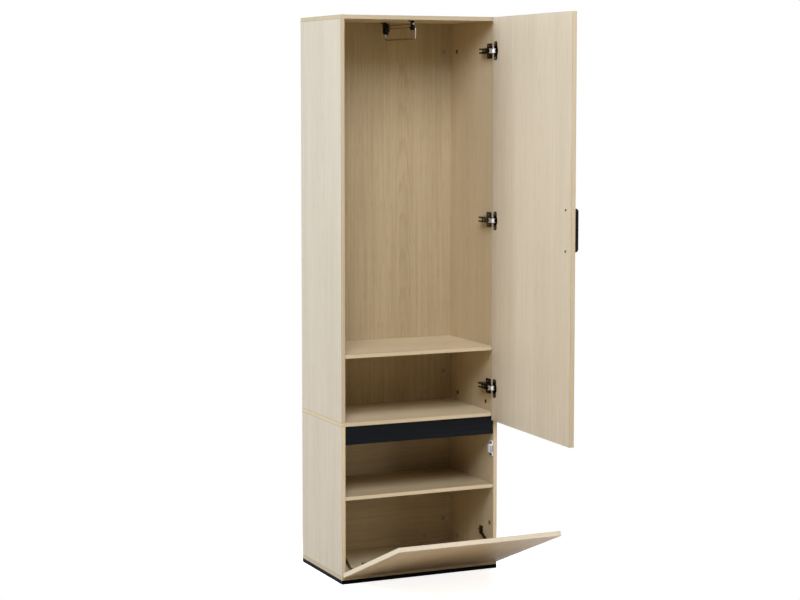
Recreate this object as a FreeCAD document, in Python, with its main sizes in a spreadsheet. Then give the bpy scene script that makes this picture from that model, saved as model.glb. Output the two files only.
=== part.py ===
"""Tall hall wardrobe: a stacked pair of cabinets with a mirror door, a drop flap and a pull-out hanger rail.

Millimetres, +Z up, +Y to the back, +X to the right seen from the front. The origin lies on the floor under
the middle of the carcass. The door and the flap stand open, as the object is shown.
"""
import FreeCAD, Part
import math
import os
import re

from FreeCAD import Placement, Rotation, Vector

doc = FreeCAD.newDocument("hall_wardrobe")
sheet = doc.addObject("Spreadsheet::Sheet", "Sizes")

SIZES = {
    # carcass
    "carcass_width": 565.0,
    "carcass_depth": 350.0,
    "carcass_height": 1850.0,
    "board_thick": 13.0,
    "back_thick": 12.0,
    "back_setin": 5.0,
    "seam_level": 520.0,
    "plinth_height": 13.0,
    "plinth_rail_width": 50.0,
    "upper_shelf_level": 742.0,
    "lower_shelf_level": 275.5,
    "shelf_setback": 4.0,
    "shelf_play": 0.5,
    "grip_rail_height": 61.0,
    "grip_rail_setback": 4.0,
    # shelf pins and their rows of holes
    "shelf_pin_radius": 2.5,
    "shelf_pin_bore_depth": 8.0,
    "shelf_pin_reach": 7.0,
    "pin_row_front": 42.0,
    "pin_row_back": 250.0,
    "pin_row_pitch": 32.0,
    "bore_play": 0.1,
    # cam locks and stacking dowels
    "cam_radius": 7.5,
    "cam_depth": 9.5,
    "cam_inset": 28.0,
    "cam_row_front": 59.0,
    "cam_row_back": 275.0,
    "cam_back_offset": 100.0,
    "upper_cam_rise": 99.0,
    "lower_cam_rise": 82.0,
    "cam_top_drop": 95.5,
    "cam_top_row": 289.0,
    "front_cap_row": 27.0,
    "front_cap_rise": 125.0,
    "dowel_radius": 4.0,
    "dowel_length": 24.0,
    "dowel_rise": 10.0,
    "dowel_row": 55.0,
    # door
    "front_thick": 15.0,
    "front_gap": 2.0,
    "side_reveal": 1.5,
    "door_top_reveal": 1.0,
    "door_drop": 13.0,
    "door_rest_angle": 88.5,
    "door_rest_in": 23.5,
    "door_rest_out": 5.0,
    # mirror
    "mirror_width": 360.0,
    "mirror_height": 1200.0,
    "mirror_thick": 3.0,
    "tape_width": 20.0,
    "tape_thick": 1.0,
    "tape_inset": 30.0,
    # handle
    "handle_pitch": 128.0,
    "handle_edge_distance": 35.0,
    "handle_reach": 27.0,
    "handle_bar_depth": 8.0,
    "handle_bar_width": 10.0,
    "screw_radius": 2.0,
    "screw_head_radius": 3.6,
    "screw_head_thick": 2.0,
    "screw_grip": 9.0,
    # concealed hinges
    "hinge_end_distance": 110.0,
    "flap_hinge_end_distance": 110.0,
    "cup_radius": 17.5,
    "cup_depth": 11.5,
    "cup_wall": 1.0,
    "cup_edge": 5.0,
    "flange_length": 62.0,
    "flange_width": 24.0,
    "flange_corner": 9.0,
    "flange_thick": 1.2,
    "flange_screw_pitch": 48.0,
    "hinge_plate_length": 50.0,
    "hinge_plate_width": 32.0,
    "hinge_plate_thick": 2.5,
    "hinge_plate_row": 37.0,
    "hinge_plate_screw_pitch": 32.0,
    "ridge_width": 13.0,
    "ridge_length": 38.0,
    "ridge_height": 6.0,
    "arm_length": 78.0,
    "arm_height": 20.0,
    "arm_metal": 1.6,
    "arm_half_width": 8.8,
    "arm_slot_width": 7.0,
    "arm_slot_length": 25.0,
    "arm_pivot_in": 34.0,
    "arm_pivot_out": 4.0,
    "arm_nose_radius": 2.8,
    "pivot_pin_radius": 1.5,
    "pivot_play": 0.05,
    "cup_pivot_depth": 2.0,
    "link_half_width": 1.8,
    "link_thick": 1.8,
    "link_eye_radius": 2.8,
    "link_leg": 8.0,
    "link_bend": 25.0,
    "link_web_thick": 1.2,
    "link_web_inset": 1.9,
    "metal_play": 0.4,
    # flap
    "flap_length": 476.0,
    "flap_lift": 3.0,
    "flap_rest_angle": 67.9,
    "flap_rest_in": 26.1,
    "flap_rest_out": 6.3,
    # flap stays
    "stay_pivot_back": 87.0,
    "stay_pivot_level": 114.0,
    "stay_flap_along": 25.0,
    "stay_flap_off": 7.0,
    "stay_pin_radius": 2.0,
    "stay_thick": 2.5,
    "stay_side_gap": 5.0,
    "stay_rim": 3.0,
    "stay_bracket_thick": 3.0,
    "stay_bracket_width": 22.0,
    "stay_bracket_height": 30.0,
    "stay_ear_thick": 3.5,
    "stay_foot_thick": 2.0,
    "stay_foot_width": 16.0,
    "stay_pin_head_radius": 4.5,
    # magnetic catch
    "catch_level": 408.5,
    "catch_height": 51.0,
    "catch_depth": 15.0,
    "catch_reach": 12.0,
    "catch_setback": 3.0,
    "catch_plate_thick": 3.0,
    "catch_foot_height": 30.0,
    "catch_head_height": 25.0,
    "catch_screw_pitch": 39.0,
    "magnet_height": 21.0,
    "magnet_width": 7.0,
    "magnet_depth": 12.0,
    "magnet_proud": 2.5,
    "strike_length": 32.0,
    "strike_width": 14.0,
    "strike_thick": 1.5,
    # pull-out hanger rail
    "rail_back_inset": 61.0,
    "rail_front_inset": 63.0,
    "rail_bracket_thick": 8.0,
    "rail_back_width": 12.0,
    "rail_back_height": 36.0,
    "rail_front_width": 14.0,
    "rail_front_height": 31.0,
    "rail_shoe_height": 13.0,
    "rail_stem_width": 10.0,
    "rail_flange_length": 22.0,
    "rail_flange_thick": 2.5,
    "guide_rod_radius": 3.0,
    "guide_rod_drop": 11.0,
    "guide_rod_seat": 3.0,
    "guide_rod_nose": 4.0,
    "slide_block_length": 21.5,
    "slide_block_width": 14.0,
    "slide_block_height": 27.0,
    "slide_boss_length": 12.5,
    "slide_boss_height": 9.0,
    "slide_play": 0.15,
    "wire_rear_inset": 5.0,
    "wire_radius": 2.5,
    "wire_drop": 22.0,
    "wire_loop_height": 38.0,
    "wire_front_inset": 43.0,
    "wire_bend": 8.0,
}

for row, (alias, number) in enumerate(SIZES.items(), start=1):
    sheet.set(f"A{row}", alias)
    sheet.set(f"B{row}", str(number))
    sheet.setAlias(f"B{row}", alias)
doc.recompute()

size = {alias: float(sheet.get(alias)) for alias in SIZES}
NODES = []
ALONG = {
    "+x": Rotation(Vector(0, 1, 0), 90),
    "-x": Rotation(Vector(0, 1, 0), -90),
    "+y": Rotation(Vector(1, 0, 0), -90),
    "-y": Rotation(Vector(1, 0, 0), 90),
    "+z": Rotation(),
    "-z": Rotation(Vector(1, 0, 0), 180),
}


def formula(text):
    """Turn size names in a formula into references to the sheet's cells."""
    def reference(match):
        """The cell of a size name, or the word as it is."""
        word = match.group()
        return f"Sizes.{word}" if word in SIZES else word

    return re.sub(r"[a-z_]+", reference, str(text))


def bind(obj, corner, **properties):
    """Bind an object's sizes and its place to the sheet."""
    for name, text in properties.items():
        obj.setExpression(name, formula(text))
    for axis, text in zip("xyz", corner):
        obj.setExpression(f"Placement.Base.{axis}", formula(text))
    return obj


def block(name, sides, corner):
    """A rectangular block from its lowest corner."""
    obj = doc.addObject("Part::Box", name)
    return bind(obj, corner, Length=sides[0], Width=sides[1], Height=sides[2])


def rod(name, radius, length, start, along):
    """A round rod or bore from the middle of its first end."""
    obj = doc.addObject("Part::Cylinder", name)
    obj.Placement = Placement(Vector(), ALONG[along])
    return bind(obj, start, Radius=radius, Height=length)


def joined(name, pieces):
    """Several overlapping solids fused into one."""
    obj = doc.addObject("Part::MultiFuse", name)
    obj.Shapes = pieces
    return obj


def group(name, pieces):
    """Separate solids kept in one node."""
    obj = doc.addObject("Part::Compound", name)
    obj.Links = pieces
    return obj


def drilled(name, solid, tools):
    """A solid with its bores and pockets cut out."""
    obj = doc.addObject("Part::Cut", name)
    obj.Base = solid
    obj.Tool = tools[0] if len(tools) == 1 else group(f"{name}_cuts", tools)
    return obj


def shaped(name, shapes):
    """A piece whose form is worked out from the sheet's values."""
    obj = doc.addObject("Part::Feature", name)
    obj.Shape = shapes[0] if len(shapes) == 1 else Part.makeCompound(shapes)
    return obj


def node(name, obj, frame=None):
    """Name a finished piece and put it in its frame."""
    obj.Label = name
    if frame is not None:
        obj.Placement = frame
    NODES.append(obj)
    return obj


def fused(first, *others):
    """One solid from overlapping shapes, with its seams removed."""
    return first.fuse(list(others)).removeSplitter()


def slab(low, high):
    """A block shape between two corners."""
    return Part.makeBox(high[0] - low[0], high[1] - low[1], high[2] - low[2], Vector(*low))


def disc(radius, low, high, x, y):
    """A round prism along the local z axis."""
    return Part.makeCylinder(radius, high - low, Vector(x, y, low))


def strip(start, end, half_width, low, high):
    """A flat bar with round ends between two points of the local xy plane."""
    run = Vector(end[0] - start[0], end[1] - start[1], 0)
    bar = Part.makeBox(run.Length, 2 * half_width, high - low, Vector(0, -half_width, 0))
    turn = Rotation(Vector(1, 0, 0), run)
    bar.Placement = Placement(Vector(start[0], start[1], low), turn)
    return fused(bar, disc(half_width, low, high, *start), disc(half_width, low, high, *end))


def crosswise(radius, low, high, y, z):
    """A round prism along the local x axis."""
    return Part.makeCylinder(radius, high - low, Vector(low, y, z), Vector(1, 0, 0))


def copies(shape, levels):
    """The same shape at several places along the local z axis."""
    moved = []
    for level in levels:
        copy = shape.copy()
        copy.translate(Vector(0, 0, level))
        moved.append(copy)
    return moved


# Formulas shared by many pieces
LEFT = "-carcass_width / 2"
FRONT = "-carcass_depth / 2"
INNER_WIDTH = "carcass_width - 2 * board_thick"
INNER_LEFT = "-carcass_width / 2 + board_thick"
INNER_RIGHT = "carcass_width / 2 - board_thick"
BACK_FACE = "carcass_depth / 2 - back_setin - back_thick"
UPPER_FLOOR = "seam_level + board_thick"
UPPER_CEILING = "carcass_height - board_thick"
LOWER_FLOOR = "plinth_height + board_thick"
SHELF_DEPTH = "carcass_depth - shelf_setback - back_setin - back_thick - shelf_play"


def shelf_pin_bores(side, level):
    """Bores for one shelf's pins in one side panel, with a spare hole above and below each pin."""
    inner, along = (INNER_LEFT, "-x") if side == "left" else (INNER_RIGHT, "+x")
    radius = "shelf_pin_radius + bore_play"
    bores = []
    for place in ("pin_row_front", "pin_row_back"):
        for step in (-1, 0, 1):
            start = (inner, f"{FRONT} + {place}", f"{level} - shelf_pin_radius + {step} * pin_row_pitch")
            bores.append(rod("pin_bore", radius, "shelf_pin_bore_depth", start, along))
    return bores


def shelf_pins(name, level):
    """Four pins that carry one shelf."""
    length = "shelf_pin_bore_depth + shelf_pin_reach"
    middle = f"{level} - shelf_pin_radius"
    pins = []
    for inner, along, sign in ((INNER_LEFT, "+x", "-"), (INNER_RIGHT, "-x", "+")):
        for place in ("pin_row_front", "pin_row_back"):
            start = (f"{inner} {sign} shelf_pin_bore_depth", f"{FRONT} + {place}", middle)
            pins.append(rod("pin", "shelf_pin_radius", length, start, along))
    return node(name, group(name, pins))


def cam_places(floor, rise, side_extra, back_extra):
    """Where the cam locks sit: the board, the middle of the lock on its face and the way into it."""
    places = []
    low = f"{floor} + cam_inset"
    for side, inner, along in (("left", INNER_LEFT, "-x"), ("right", INNER_RIGHT, "+x")):
        for row, level in [("cam_row_front", low), ("cam_row_back", low), side_extra]:
            places.append((side, (inner, f"{FRONT} + {row}", level), along))
    for sign in ("-", "+"):
        edge = f"{sign} (carcass_width / 2 - board_thick - cam_inset)"
        offset = f"{sign} (carcass_width / 2 - board_thick - cam_back_offset)"
        spots = [(offset, low), (edge, f"{floor} + {rise}")]
        spots += [(edge, extra) for extra in back_extra]
        for x, level in spots:
            places.append(("back", (x, BACK_FACE, level), "+y"))
    return places


def cam_pockets(places, board):
    """Pockets for the cam locks of one board."""
    return [rod("cam_pocket", "cam_radius + bore_play", "cam_depth", start, along)
            for owner, start, along in places if owner == board]


def cam_locks(name, places):
    """All cam locks of one cabinet, flush with the boards they sit in."""
    locks = [rod("cam", "cam_radius", "cam_depth", start, along) for _, start, along in places]
    return node(name, group(name, locks))


def carcass(hinge_bores, flap_bores, catch_bores, rail_bores):
    """Both cabinets, their shelves and the plinth."""
    upper_height = "carcass_height - seam_level - 2 * board_thick"
    lower_height = "seam_level - plinth_height - board_thick"
    cam_top = f"{UPPER_CEILING} - cam_top_drop"
    upper_cams = cam_places(UPPER_FLOOR, "upper_cam_rise", ("cam_top_row", cam_top), [cam_top])
    front_cap = ("front_cap_row", f"{LOWER_FLOOR} + front_cap_rise")
    lower_cams = cam_places(LOWER_FLOOR, "lower_cam_rise", front_cap, [])
    full = ("carcass_width", "carcass_depth", "board_thick")
    dowel_spots = [(f"{sign} (carcass_width / 2 - board_thick / 2)",
                    f"{end} (carcass_depth / 2 - dowel_row)")
                   for sign in ("-", "+") for end in ("-", "+")]
    dowel_bore = "dowel_radius + bore_play"

    top = block("top_board", full, (LEFT, FRONT, UPPER_CEILING))
    node("top_panel", drilled("top_panel", top, rail_bores))
    upper_bottom = block("upper_bottom_board", full, (LEFT, FRONT, "seam_level"))
    dowel_bores = [rod("dowel_bore", dowel_bore, "dowel_rise + bore_play", (x, y, "seam_level"), "+z")
                   for x, y in dowel_spots]
    node("upper_bottom_panel", drilled("upper_bottom_panel", upper_bottom, dowel_bores))
    lower_bottom = block("lower_bottom_board", full, (LEFT, FRONT, "plinth_height"))
    node("lower_bottom_panel", drilled("lower_bottom_panel", lower_bottom, flap_bores))

    for side, x in (("left", LEFT), ("right", INNER_RIGHT)):
        upright = ("board_thick", "carcass_depth", upper_height)
        board = block(f"upper_{side}_board", upright, (x, FRONT, UPPER_FLOOR))
        cuts = shelf_pin_bores(side, "upper_shelf_level") + cam_pockets(upper_cams, side)
        cuts += hinge_bores if side == "right" else []
        node(f"upper_{side}_side", drilled(f"upper_{side}_side", board, cuts))

        upright = ("board_thick", "carcass_depth", lower_height)
        board = block(f"lower_{side}_board", upright, (x, FRONT, LOWER_FLOOR))
        cuts = shelf_pin_bores(side, "lower_shelf_level") + cam_pockets(lower_cams, side)
        spots = dowel_spots[:2] if side == "left" else dowel_spots[2:]
        depth = "dowel_length - dowel_rise + bore_play"
        cuts += [rod("dowel_bore", dowel_bore, depth, (sx, sy, "seam_level"), "-z") for sx, sy in spots]
        cuts += catch_bores if side == "right" else []
        node(f"lower_{side}_side", drilled(f"lower_{side}_side", board, cuts))

    for level, floor, height, cams in (("upper", UPPER_FLOOR, upper_height, upper_cams),
                                       ("lower", LOWER_FLOOR, lower_height, lower_cams)):
        sides = (INNER_WIDTH, "back_thick", height)
        board = block(f"{level}_back_board", sides, (INNER_LEFT, BACK_FACE, floor))
        node(f"{level}_back_panel", drilled(f"{level}_back_panel", board, cam_pockets(cams, "back")))
        cam_locks(f"{level}_cam_locks", cams)
        shelf_name = f"{level}_shelf"
        sides = (f"{INNER_WIDTH} - 2 * shelf_play", SHELF_DEPTH, "board_thick")
        corner = (f"{INNER_LEFT} + shelf_play", f"{FRONT} + shelf_setback", f"{level}_shelf_level")
        node(shelf_name, block(shelf_name, sides, corner))
        shelf_pins(f"{level}_shelf_pins", f"{level}_shelf_level")

    dowel_foot = "seam_level - dowel_length + dowel_rise"
    dowels = [rod("dowel", "dowel_radius", "dowel_length", (x, y, dowel_foot), "+z") for x, y in dowel_spots]
    node("stacking_dowels", group("stacking_dowels", dowels))

    sides = (INNER_WIDTH, "board_thick", "grip_rail_height")
    corner = (INNER_LEFT, f"{FRONT} + grip_rail_setback", "seam_level - grip_rail_height")
    node("grip_rail", block("grip_rail", sides, corner))

    across = ("carcass_width", "plinth_rail_width", "plinth_height")
    node("plinth_front_rail", block("plinth_front_rail", across, (LEFT, FRONT, "0")))
    back_rail_start = "carcass_depth / 2 - plinth_rail_width"
    node("plinth_back_rail", block("plinth_back_rail", across, (LEFT, back_rail_start, "0")))
    deep = ("plinth_rail_width", "carcass_depth - 2 * plinth_rail_width", "plinth_height")
    rails = [block("plinth_cross", deep, (x, f"{FRONT} + plinth_rail_width", "0"))
             for x in (LEFT, "-plinth_rail_width / 2", "carcass_width / 2 - plinth_rail_width")]
    node("plinth_cross_rails", group("plinth_cross_rails", rails))


class Swing:
    """A front that hangs on concealed hinges, worked out in the plane across the hinge axis.

    The plane's x runs inward from the carcass's outer face and its y forward from the carcass's front. Each
    link turns on the hinge arm and carries the front. Its place in the cup follows from one rule: the cup's
    pivot is as far from the arm's pivot with the front closed as with the front at rest.
    """

    def __init__(self, closed, rest, angle, frame):
        self.closed = closed
        self.rest = rest
        self.angle = angle
        self.frame = frame
        self.arm = Vector(size["arm_pivot_in"], size["arm_pivot_out"], 0)
        self.depth = size["cup_pivot_depth"]
        self.along = self.cup_pivot_along()
        start = self.point(0.0, self.closed) - self.arm
        end = self.point(angle, self.rest) - self.arm
        self.link_start = math.degrees(math.atan2(start.y, start.x))
        turn = math.degrees(math.atan2(end.y, end.x)) - self.link_start
        self.link_turn = (turn + 180.0) % 360.0 - 180.0
        self.link_length = start.Length

    def point(self, angle, corner, along=None, off=None):
        """A point of the front, given along it from the hinge edge and off its inner face."""
        local = Vector(self.along if along is None else along, self.depth if off is None else off, 0)
        return corner + Rotation(Vector(0, 0, 1), angle).multVec(local)

    def cup_pivot_along(self):
        """Distance from the hinge edge to the cup's pivot: the difference of squares is linear in it."""
        def difference(along):
            closed = self.point(0.0, self.closed, along, self.depth) - self.arm
            rest = self.point(self.angle, self.rest, along, self.depth) - self.arm
            return closed.dot(closed) - rest.dot(rest)
        at_zero = difference(0.0)
        return at_zero / (at_zero - difference(1.0))

    def corner_at(self, angle):
        """The front's inner hinge corner when it has opened by an angle."""
        link = math.radians(self.link_start + self.link_turn * angle / self.angle)
        pivot = self.arm + Vector(math.cos(link), math.sin(link), 0) * self.link_length
        return pivot - self.point(angle, Vector())

    def leaf_frame(self):
        """Frame of the front at rest: x along it from the hinge edge, y out of its face."""
        return self.frame.multiply(Placement(self.rest, Rotation(Vector(0, 0, 1), self.angle)))

    def report(self, name):
        """Print the joints that the record states, in the part's frame."""
        cup = self.frame.multVec(self.point(self.angle, self.rest))
        arm = self.frame.multVec(self.arm)
        cup_turn = self.link_turn - self.angle
        print(f"{name} link pivot {tuple(round(v, 4) for v in arm)} closed {-self.link_turn:.4f} deg")
        print(f"{name} cup pivot {tuple(round(v, 4) for v in cup)} closed {cup_turn:.4f} deg")


door_height = size["carcass_height"] - size["door_top_reveal"] - size["seam_level"] + size["door_drop"]
door_frame = Placement(
    Vector(size["carcass_width"] / 2, -size["carcass_depth"] / 2, size["seam_level"] - size["door_drop"]),
    Rotation(Vector(0, 0, 1), 180))
door = Swing(Vector(size["side_reveal"], size["front_gap"], 0),
             Vector(size["door_rest_in"], size["door_rest_out"], 0), size["door_rest_angle"], door_frame)
door_levels = [size["hinge_end_distance"], door_height / 2, door_height - size["hinge_end_distance"]]

flap_width = size["carcass_width"] - 2 * size["side_reveal"]
flap_frame = Placement(
    Vector(-flap_width / 2, -size["carcass_depth"] / 2, size["plinth_height"]),
    Rotation(Vector(0, 0, 1), Vector(0, -1, 0), Vector(1, 0, 0), "XYZ"))
flap = Swing(Vector(size["flap_lift"], size["front_gap"], 0),
             Vector(size["flap_rest_in"], size["flap_rest_out"], 0), size["flap_rest_angle"], flap_frame)
flap_levels = [size["flap_hinge_end_distance"], flap_width - size["flap_hinge_end_distance"]]


def screw(length_in, face, y, z):
    """A round-headed screw along the local x axis: its head on a face, its shank back into the board."""
    head = crosswise(size["screw_head_radius"], face, face + size["screw_head_thick"], y, z)
    return fused(head, crosswise(size["screw_radius"], face - length_in, face, y, z))


def hinge_plate():
    """Cross mounting plate on the carcass board, with the ridge that the arm sits over."""
    board = size["board_thick"]
    row = -size["hinge_plate_row"]
    half_width = size["hinge_plate_width"] / 2
    half_length = size["hinge_plate_length"] / 2
    base = slab((board, row - half_width, -half_length),
                (board + size["hinge_plate_thick"], row + half_width, half_length))
    half_ridge = size["ridge_width"] / 2
    ridge = slab((board, row - size["ridge_length"] / 2, -half_ridge),
                 (board + size["ridge_height"], row + size["ridge_length"] / 2, half_ridge))
    plate = fused(base, ridge)
    bore = size["screw_radius"] + size["bore_play"]
    for sign in (-1, 1):
        level = sign * size["hinge_plate_screw_pitch"] / 2
        plate = plate.cut(crosswise(bore, board, board + size["hinge_plate_thick"], row, level))
    return plate.cut(crosswise(bore, board, board + size["ridge_height"], row, 0))


def hinge_arm(swing):
    """Channel-shaped arm over the mounting plate: an open slot at its tail, two cheeks out to the pivot."""
    board = size["board_thick"]
    top = board + size["arm_height"]
    foot = board + size["hinge_plate_thick"] + size["metal_play"]
    outer = size["arm_half_width"]
    inner = outer - size["arm_metal"]
    tail = -size["arm_length"]
    shoulder = -size["arm_height"] / 2
    web = slab((top - size["arm_metal"], tail, -outer), (top, shoulder, outer))
    cheeks = []
    neck = (top - size["arm_nose_radius"], shoulder - size["arm_nose_radius"])
    for low, high in ((-outer, -inner), (inner, outer)):
        cheeks.append(slab((foot, tail, low), (top, shoulder, high)))
        cheeks.append(strip(neck, (swing.arm.x, swing.arm.y), size["arm_nose_radius"], low, high))
    arm = fused(web, *cheeks)
    bore = size["pivot_pin_radius"] + size["pivot_play"] / 2
    arm = arm.cut(disc(bore, -outer, outer, swing.arm.x, swing.arm.y))
    hole = size["screw_radius"] + size["bore_play"]
    under = top - size["arm_metal"]
    half_slot = size["arm_slot_width"] / 2
    slot_end = tail + size["arm_slot_length"] - half_slot
    slot = fused(slab((under, tail, -half_slot), (top, slot_end, half_slot)),
                 crosswise(half_slot, under, top, slot_end, 0))
    return arm.cut(crosswise(hole, under, top, -size["hinge_plate_row"], 0)).cut(slot)


def link_web(start, end, first, last, half_depth):
    """Flat web on the outer side of one leg of a link, between two distances from the leg's start."""
    run = end - start
    half_width = size["link_half_width"]
    corner = Vector(first, -half_width, -half_depth)
    web = Part.makeBox(last - first, size["link_web_thick"], 2 * half_depth, corner)
    web.Placement = Placement(start, Rotation(Vector(1, 0, 0), run))
    return web


def hinge_link(swing):
    """Pressed link of channel form: two bent cheeks on the arm's pin and the cup's pin, and a web across."""
    arm = swing.arm
    cup = swing.point(swing.angle, swing.rest)
    towards_arm = math.atan2(arm.y - cup.y, arm.x - cup.x) + math.radians(size["link_bend"])
    elbow = cup + Vector(math.cos(towards_arm), math.sin(towards_arm), 0) * size["link_leg"]
    outer = size["arm_half_width"] - size["arm_metal"] - size["metal_play"]
    inner = outer - size["link_thick"]
    bore = size["pivot_pin_radius"] + size["pivot_play"]
    half_width = size["link_half_width"]
    inset = size["link_web_inset"]
    webs = [link_web(arm, elbow, inset, (elbow - arm).Length, outer),
            link_web(elbow, cup, 0, size["link_leg"] - inset, outer),
            disc(half_width, -outer, outer, elbow.x, elbow.y)]
    cheeks = []
    for low, high in ((-outer, -inner), (inner, outer)):
        for start, end in ((arm, elbow), (elbow, cup)):
            cheeks.append(strip((start.x, start.y), (end.x, end.y), half_width, low, high))
        cheeks += [disc(size["link_eye_radius"], low, high, p.x, p.y) for p in (arm, cup)]
    link = fused(*webs, *cheeks)
    for p in (arm, cup):
        link = link.cut(disc(bore, -outer, outer, p.x, p.y))
    return link


def cup_axis_place():
    """Distance from the front's hinge edge to the middle of the cup."""
    return size["cup_edge"] + size["cup_radius"]


def hinge_cup(swing):
    """Pressed cup with two flange wings and inner ears that hold the cup's pin, in the front's frame."""
    middle = cup_axis_place()
    forward = Vector(0, 1, 0)
    floor = size["cup_depth"] - size["cup_wall"]
    hollow_radius = size["cup_radius"] - size["cup_wall"]
    shell = Part.makeCylinder(size["cup_radius"], size["cup_depth"], Vector(middle, 0, 0), forward)
    hollow = Part.makeCylinder(hollow_radius, floor, Vector(middle, 0, 0), forward)
    half_flange = size["flange_width"] / 2
    flange = size["flange_thick"]
    wings = slab((middle - half_flange, -flange, -size["flange_length"] / 2),
                 (middle + half_flange, 0, size["flange_length"] / 2))
    corners = [edge for edge in wings.Edges if abs(edge.tangentAt(edge.FirstParameter).y) > 0.99]
    wings = wings.makeFillet(size["flange_corner"], corners)
    mouth = Part.makeCylinder(hollow_radius, flange, Vector(middle, -flange, 0), forward)
    core_radius = size["cup_radius"] - size["cup_wall"] / 2
    core = Part.makeCylinder(core_radius, floor, Vector(middle, 0, 0), forward)
    inner = size["arm_half_width"] - size["arm_metal"]
    ear_floor = floor + size["cup_wall"] / 2
    half_ear = size["link_eye_radius"]
    cheeks = []
    for low, high in ((-hollow_radius, -inner), (inner, hollow_radius)):
        ear = slab((swing.along - half_ear, 0, low), (swing.along + half_ear, ear_floor, high))
        cheeks.append(ear.common(core))
    cup = fused(shell.cut(hollow), wings.cut(mouth), *cheeks)
    bore = size["pivot_pin_radius"] + size["pivot_play"] / 2
    half_pin = cup_pin_half_length()
    cup = cup.cut(disc(bore, -half_pin, half_pin, swing.along, swing.depth))
    hole = size["screw_radius"] + size["bore_play"]
    for sign in (-1, 1):
        place = Vector(middle, -flange, sign * size["flange_screw_pitch"] / 2)
        cup = cup.cut(Part.makeCylinder(hole, flange, place, forward))
    return cup


def cup_pin_half_length():
    """The cup's pin runs through both ears."""
    return size["arm_half_width"] + size["arm_metal"]


def cup_screws():
    """Two screws of one cup, through its wings into the front."""
    screws = []
    for sign in (-1, 1):
        level = sign * size["flange_screw_pitch"] / 2
        one = screw(size["screw_grip"] + size["flange_thick"], size["flange_thick"], 0, 0)
        one.rotate(Vector(), Vector(0, 0, 1), -90)
        one.translate(Vector(cup_axis_place(), 0, level))
        screws.append(one)
    return screws


def hinges(name, swing, levels):
    """All pieces of the concealed hinges of one front."""
    board = size["board_thick"]
    row = -size["hinge_plate_row"]
    plate_top = board + size["hinge_plate_thick"]
    arm_top = board + size["arm_height"]
    half_pitch = size["hinge_plate_screw_pitch"] / 2
    plate_grip = size["screw_grip"] + size["hinge_plate_thick"]
    plate_screws = [screw(plate_grip, plate_top, row, sign * half_pitch) for sign in (-1, 1)]
    arm_screw = screw(arm_top - board - size["screw_radius"], arm_top, row, 0)
    pin = size["pivot_pin_radius"]
    arm_pin = disc(pin, -size["arm_half_width"], size["arm_half_width"], swing.arm.x, swing.arm.y)
    half_pin = cup_pin_half_length()
    cup_pin = disc(pin, -half_pin, half_pin, swing.along, swing.depth)
    fixed = {
        "plates": [hinge_plate()],
        "plate_screws": plate_screws,
        "arms": [hinge_arm(swing)],
        "arm_screws": [arm_screw],
        "arm_pins": [arm_pin],
        "links": [hinge_link(swing)],
    }
    swung = {
        "cups": [hinge_cup(swing)],
        "cup_pins": [cup_pin],
        "cup_screws": cup_screws(),
    }
    for pieces, frame in ((fixed, swing.frame), (swung, swing.leaf_frame())):
        for kind, shapes in pieces.items():
            placed = [copy for shape in shapes for copy in copies(shape, levels)]
            solids = [solid for copy in placed for solid in copy.Solids]
            node(f"{name}_hinge_{kind}", shaped(f"{name}_hinge_{kind}", solids), frame)


def front_cuts(levels):
    """Bores for the hinge cups and their screws in a front, whose edge with the hinges is at local x = 0."""
    middle = "cup_edge + cup_radius"
    cup_radius, cup_depth = "cup_radius + bore_play", "cup_depth + bore_play"
    cuts = []
    for level in levels:
        cuts.append(rod("cup_bore", cup_radius, cup_depth, (middle, "0", level), "+y"))
        for sign in ("-", "+"):
            start = (middle, "0", f"{level} {sign} flange_screw_pitch / 2")
            cuts.append(rod("cup_screw_bore", "screw_radius + bore_play", "screw_grip", start, "+y"))
    return cuts


DOOR_WIDTH = "carcass_width - 2 * side_reveal"
DOOR_HEIGHT = "(carcass_height - door_top_reveal - seam_level + door_drop)"
DOOR_BOTTOM = "seam_level - door_drop"
DOOR_LEVELS = ["hinge_end_distance", f"{DOOR_HEIGHT} / 2", f"{DOOR_HEIGHT} - hinge_end_distance"]
FLAP_LEVELS = ["flap_hinge_end_distance", f"{DOOR_WIDTH} - flap_hinge_end_distance"]


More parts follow.
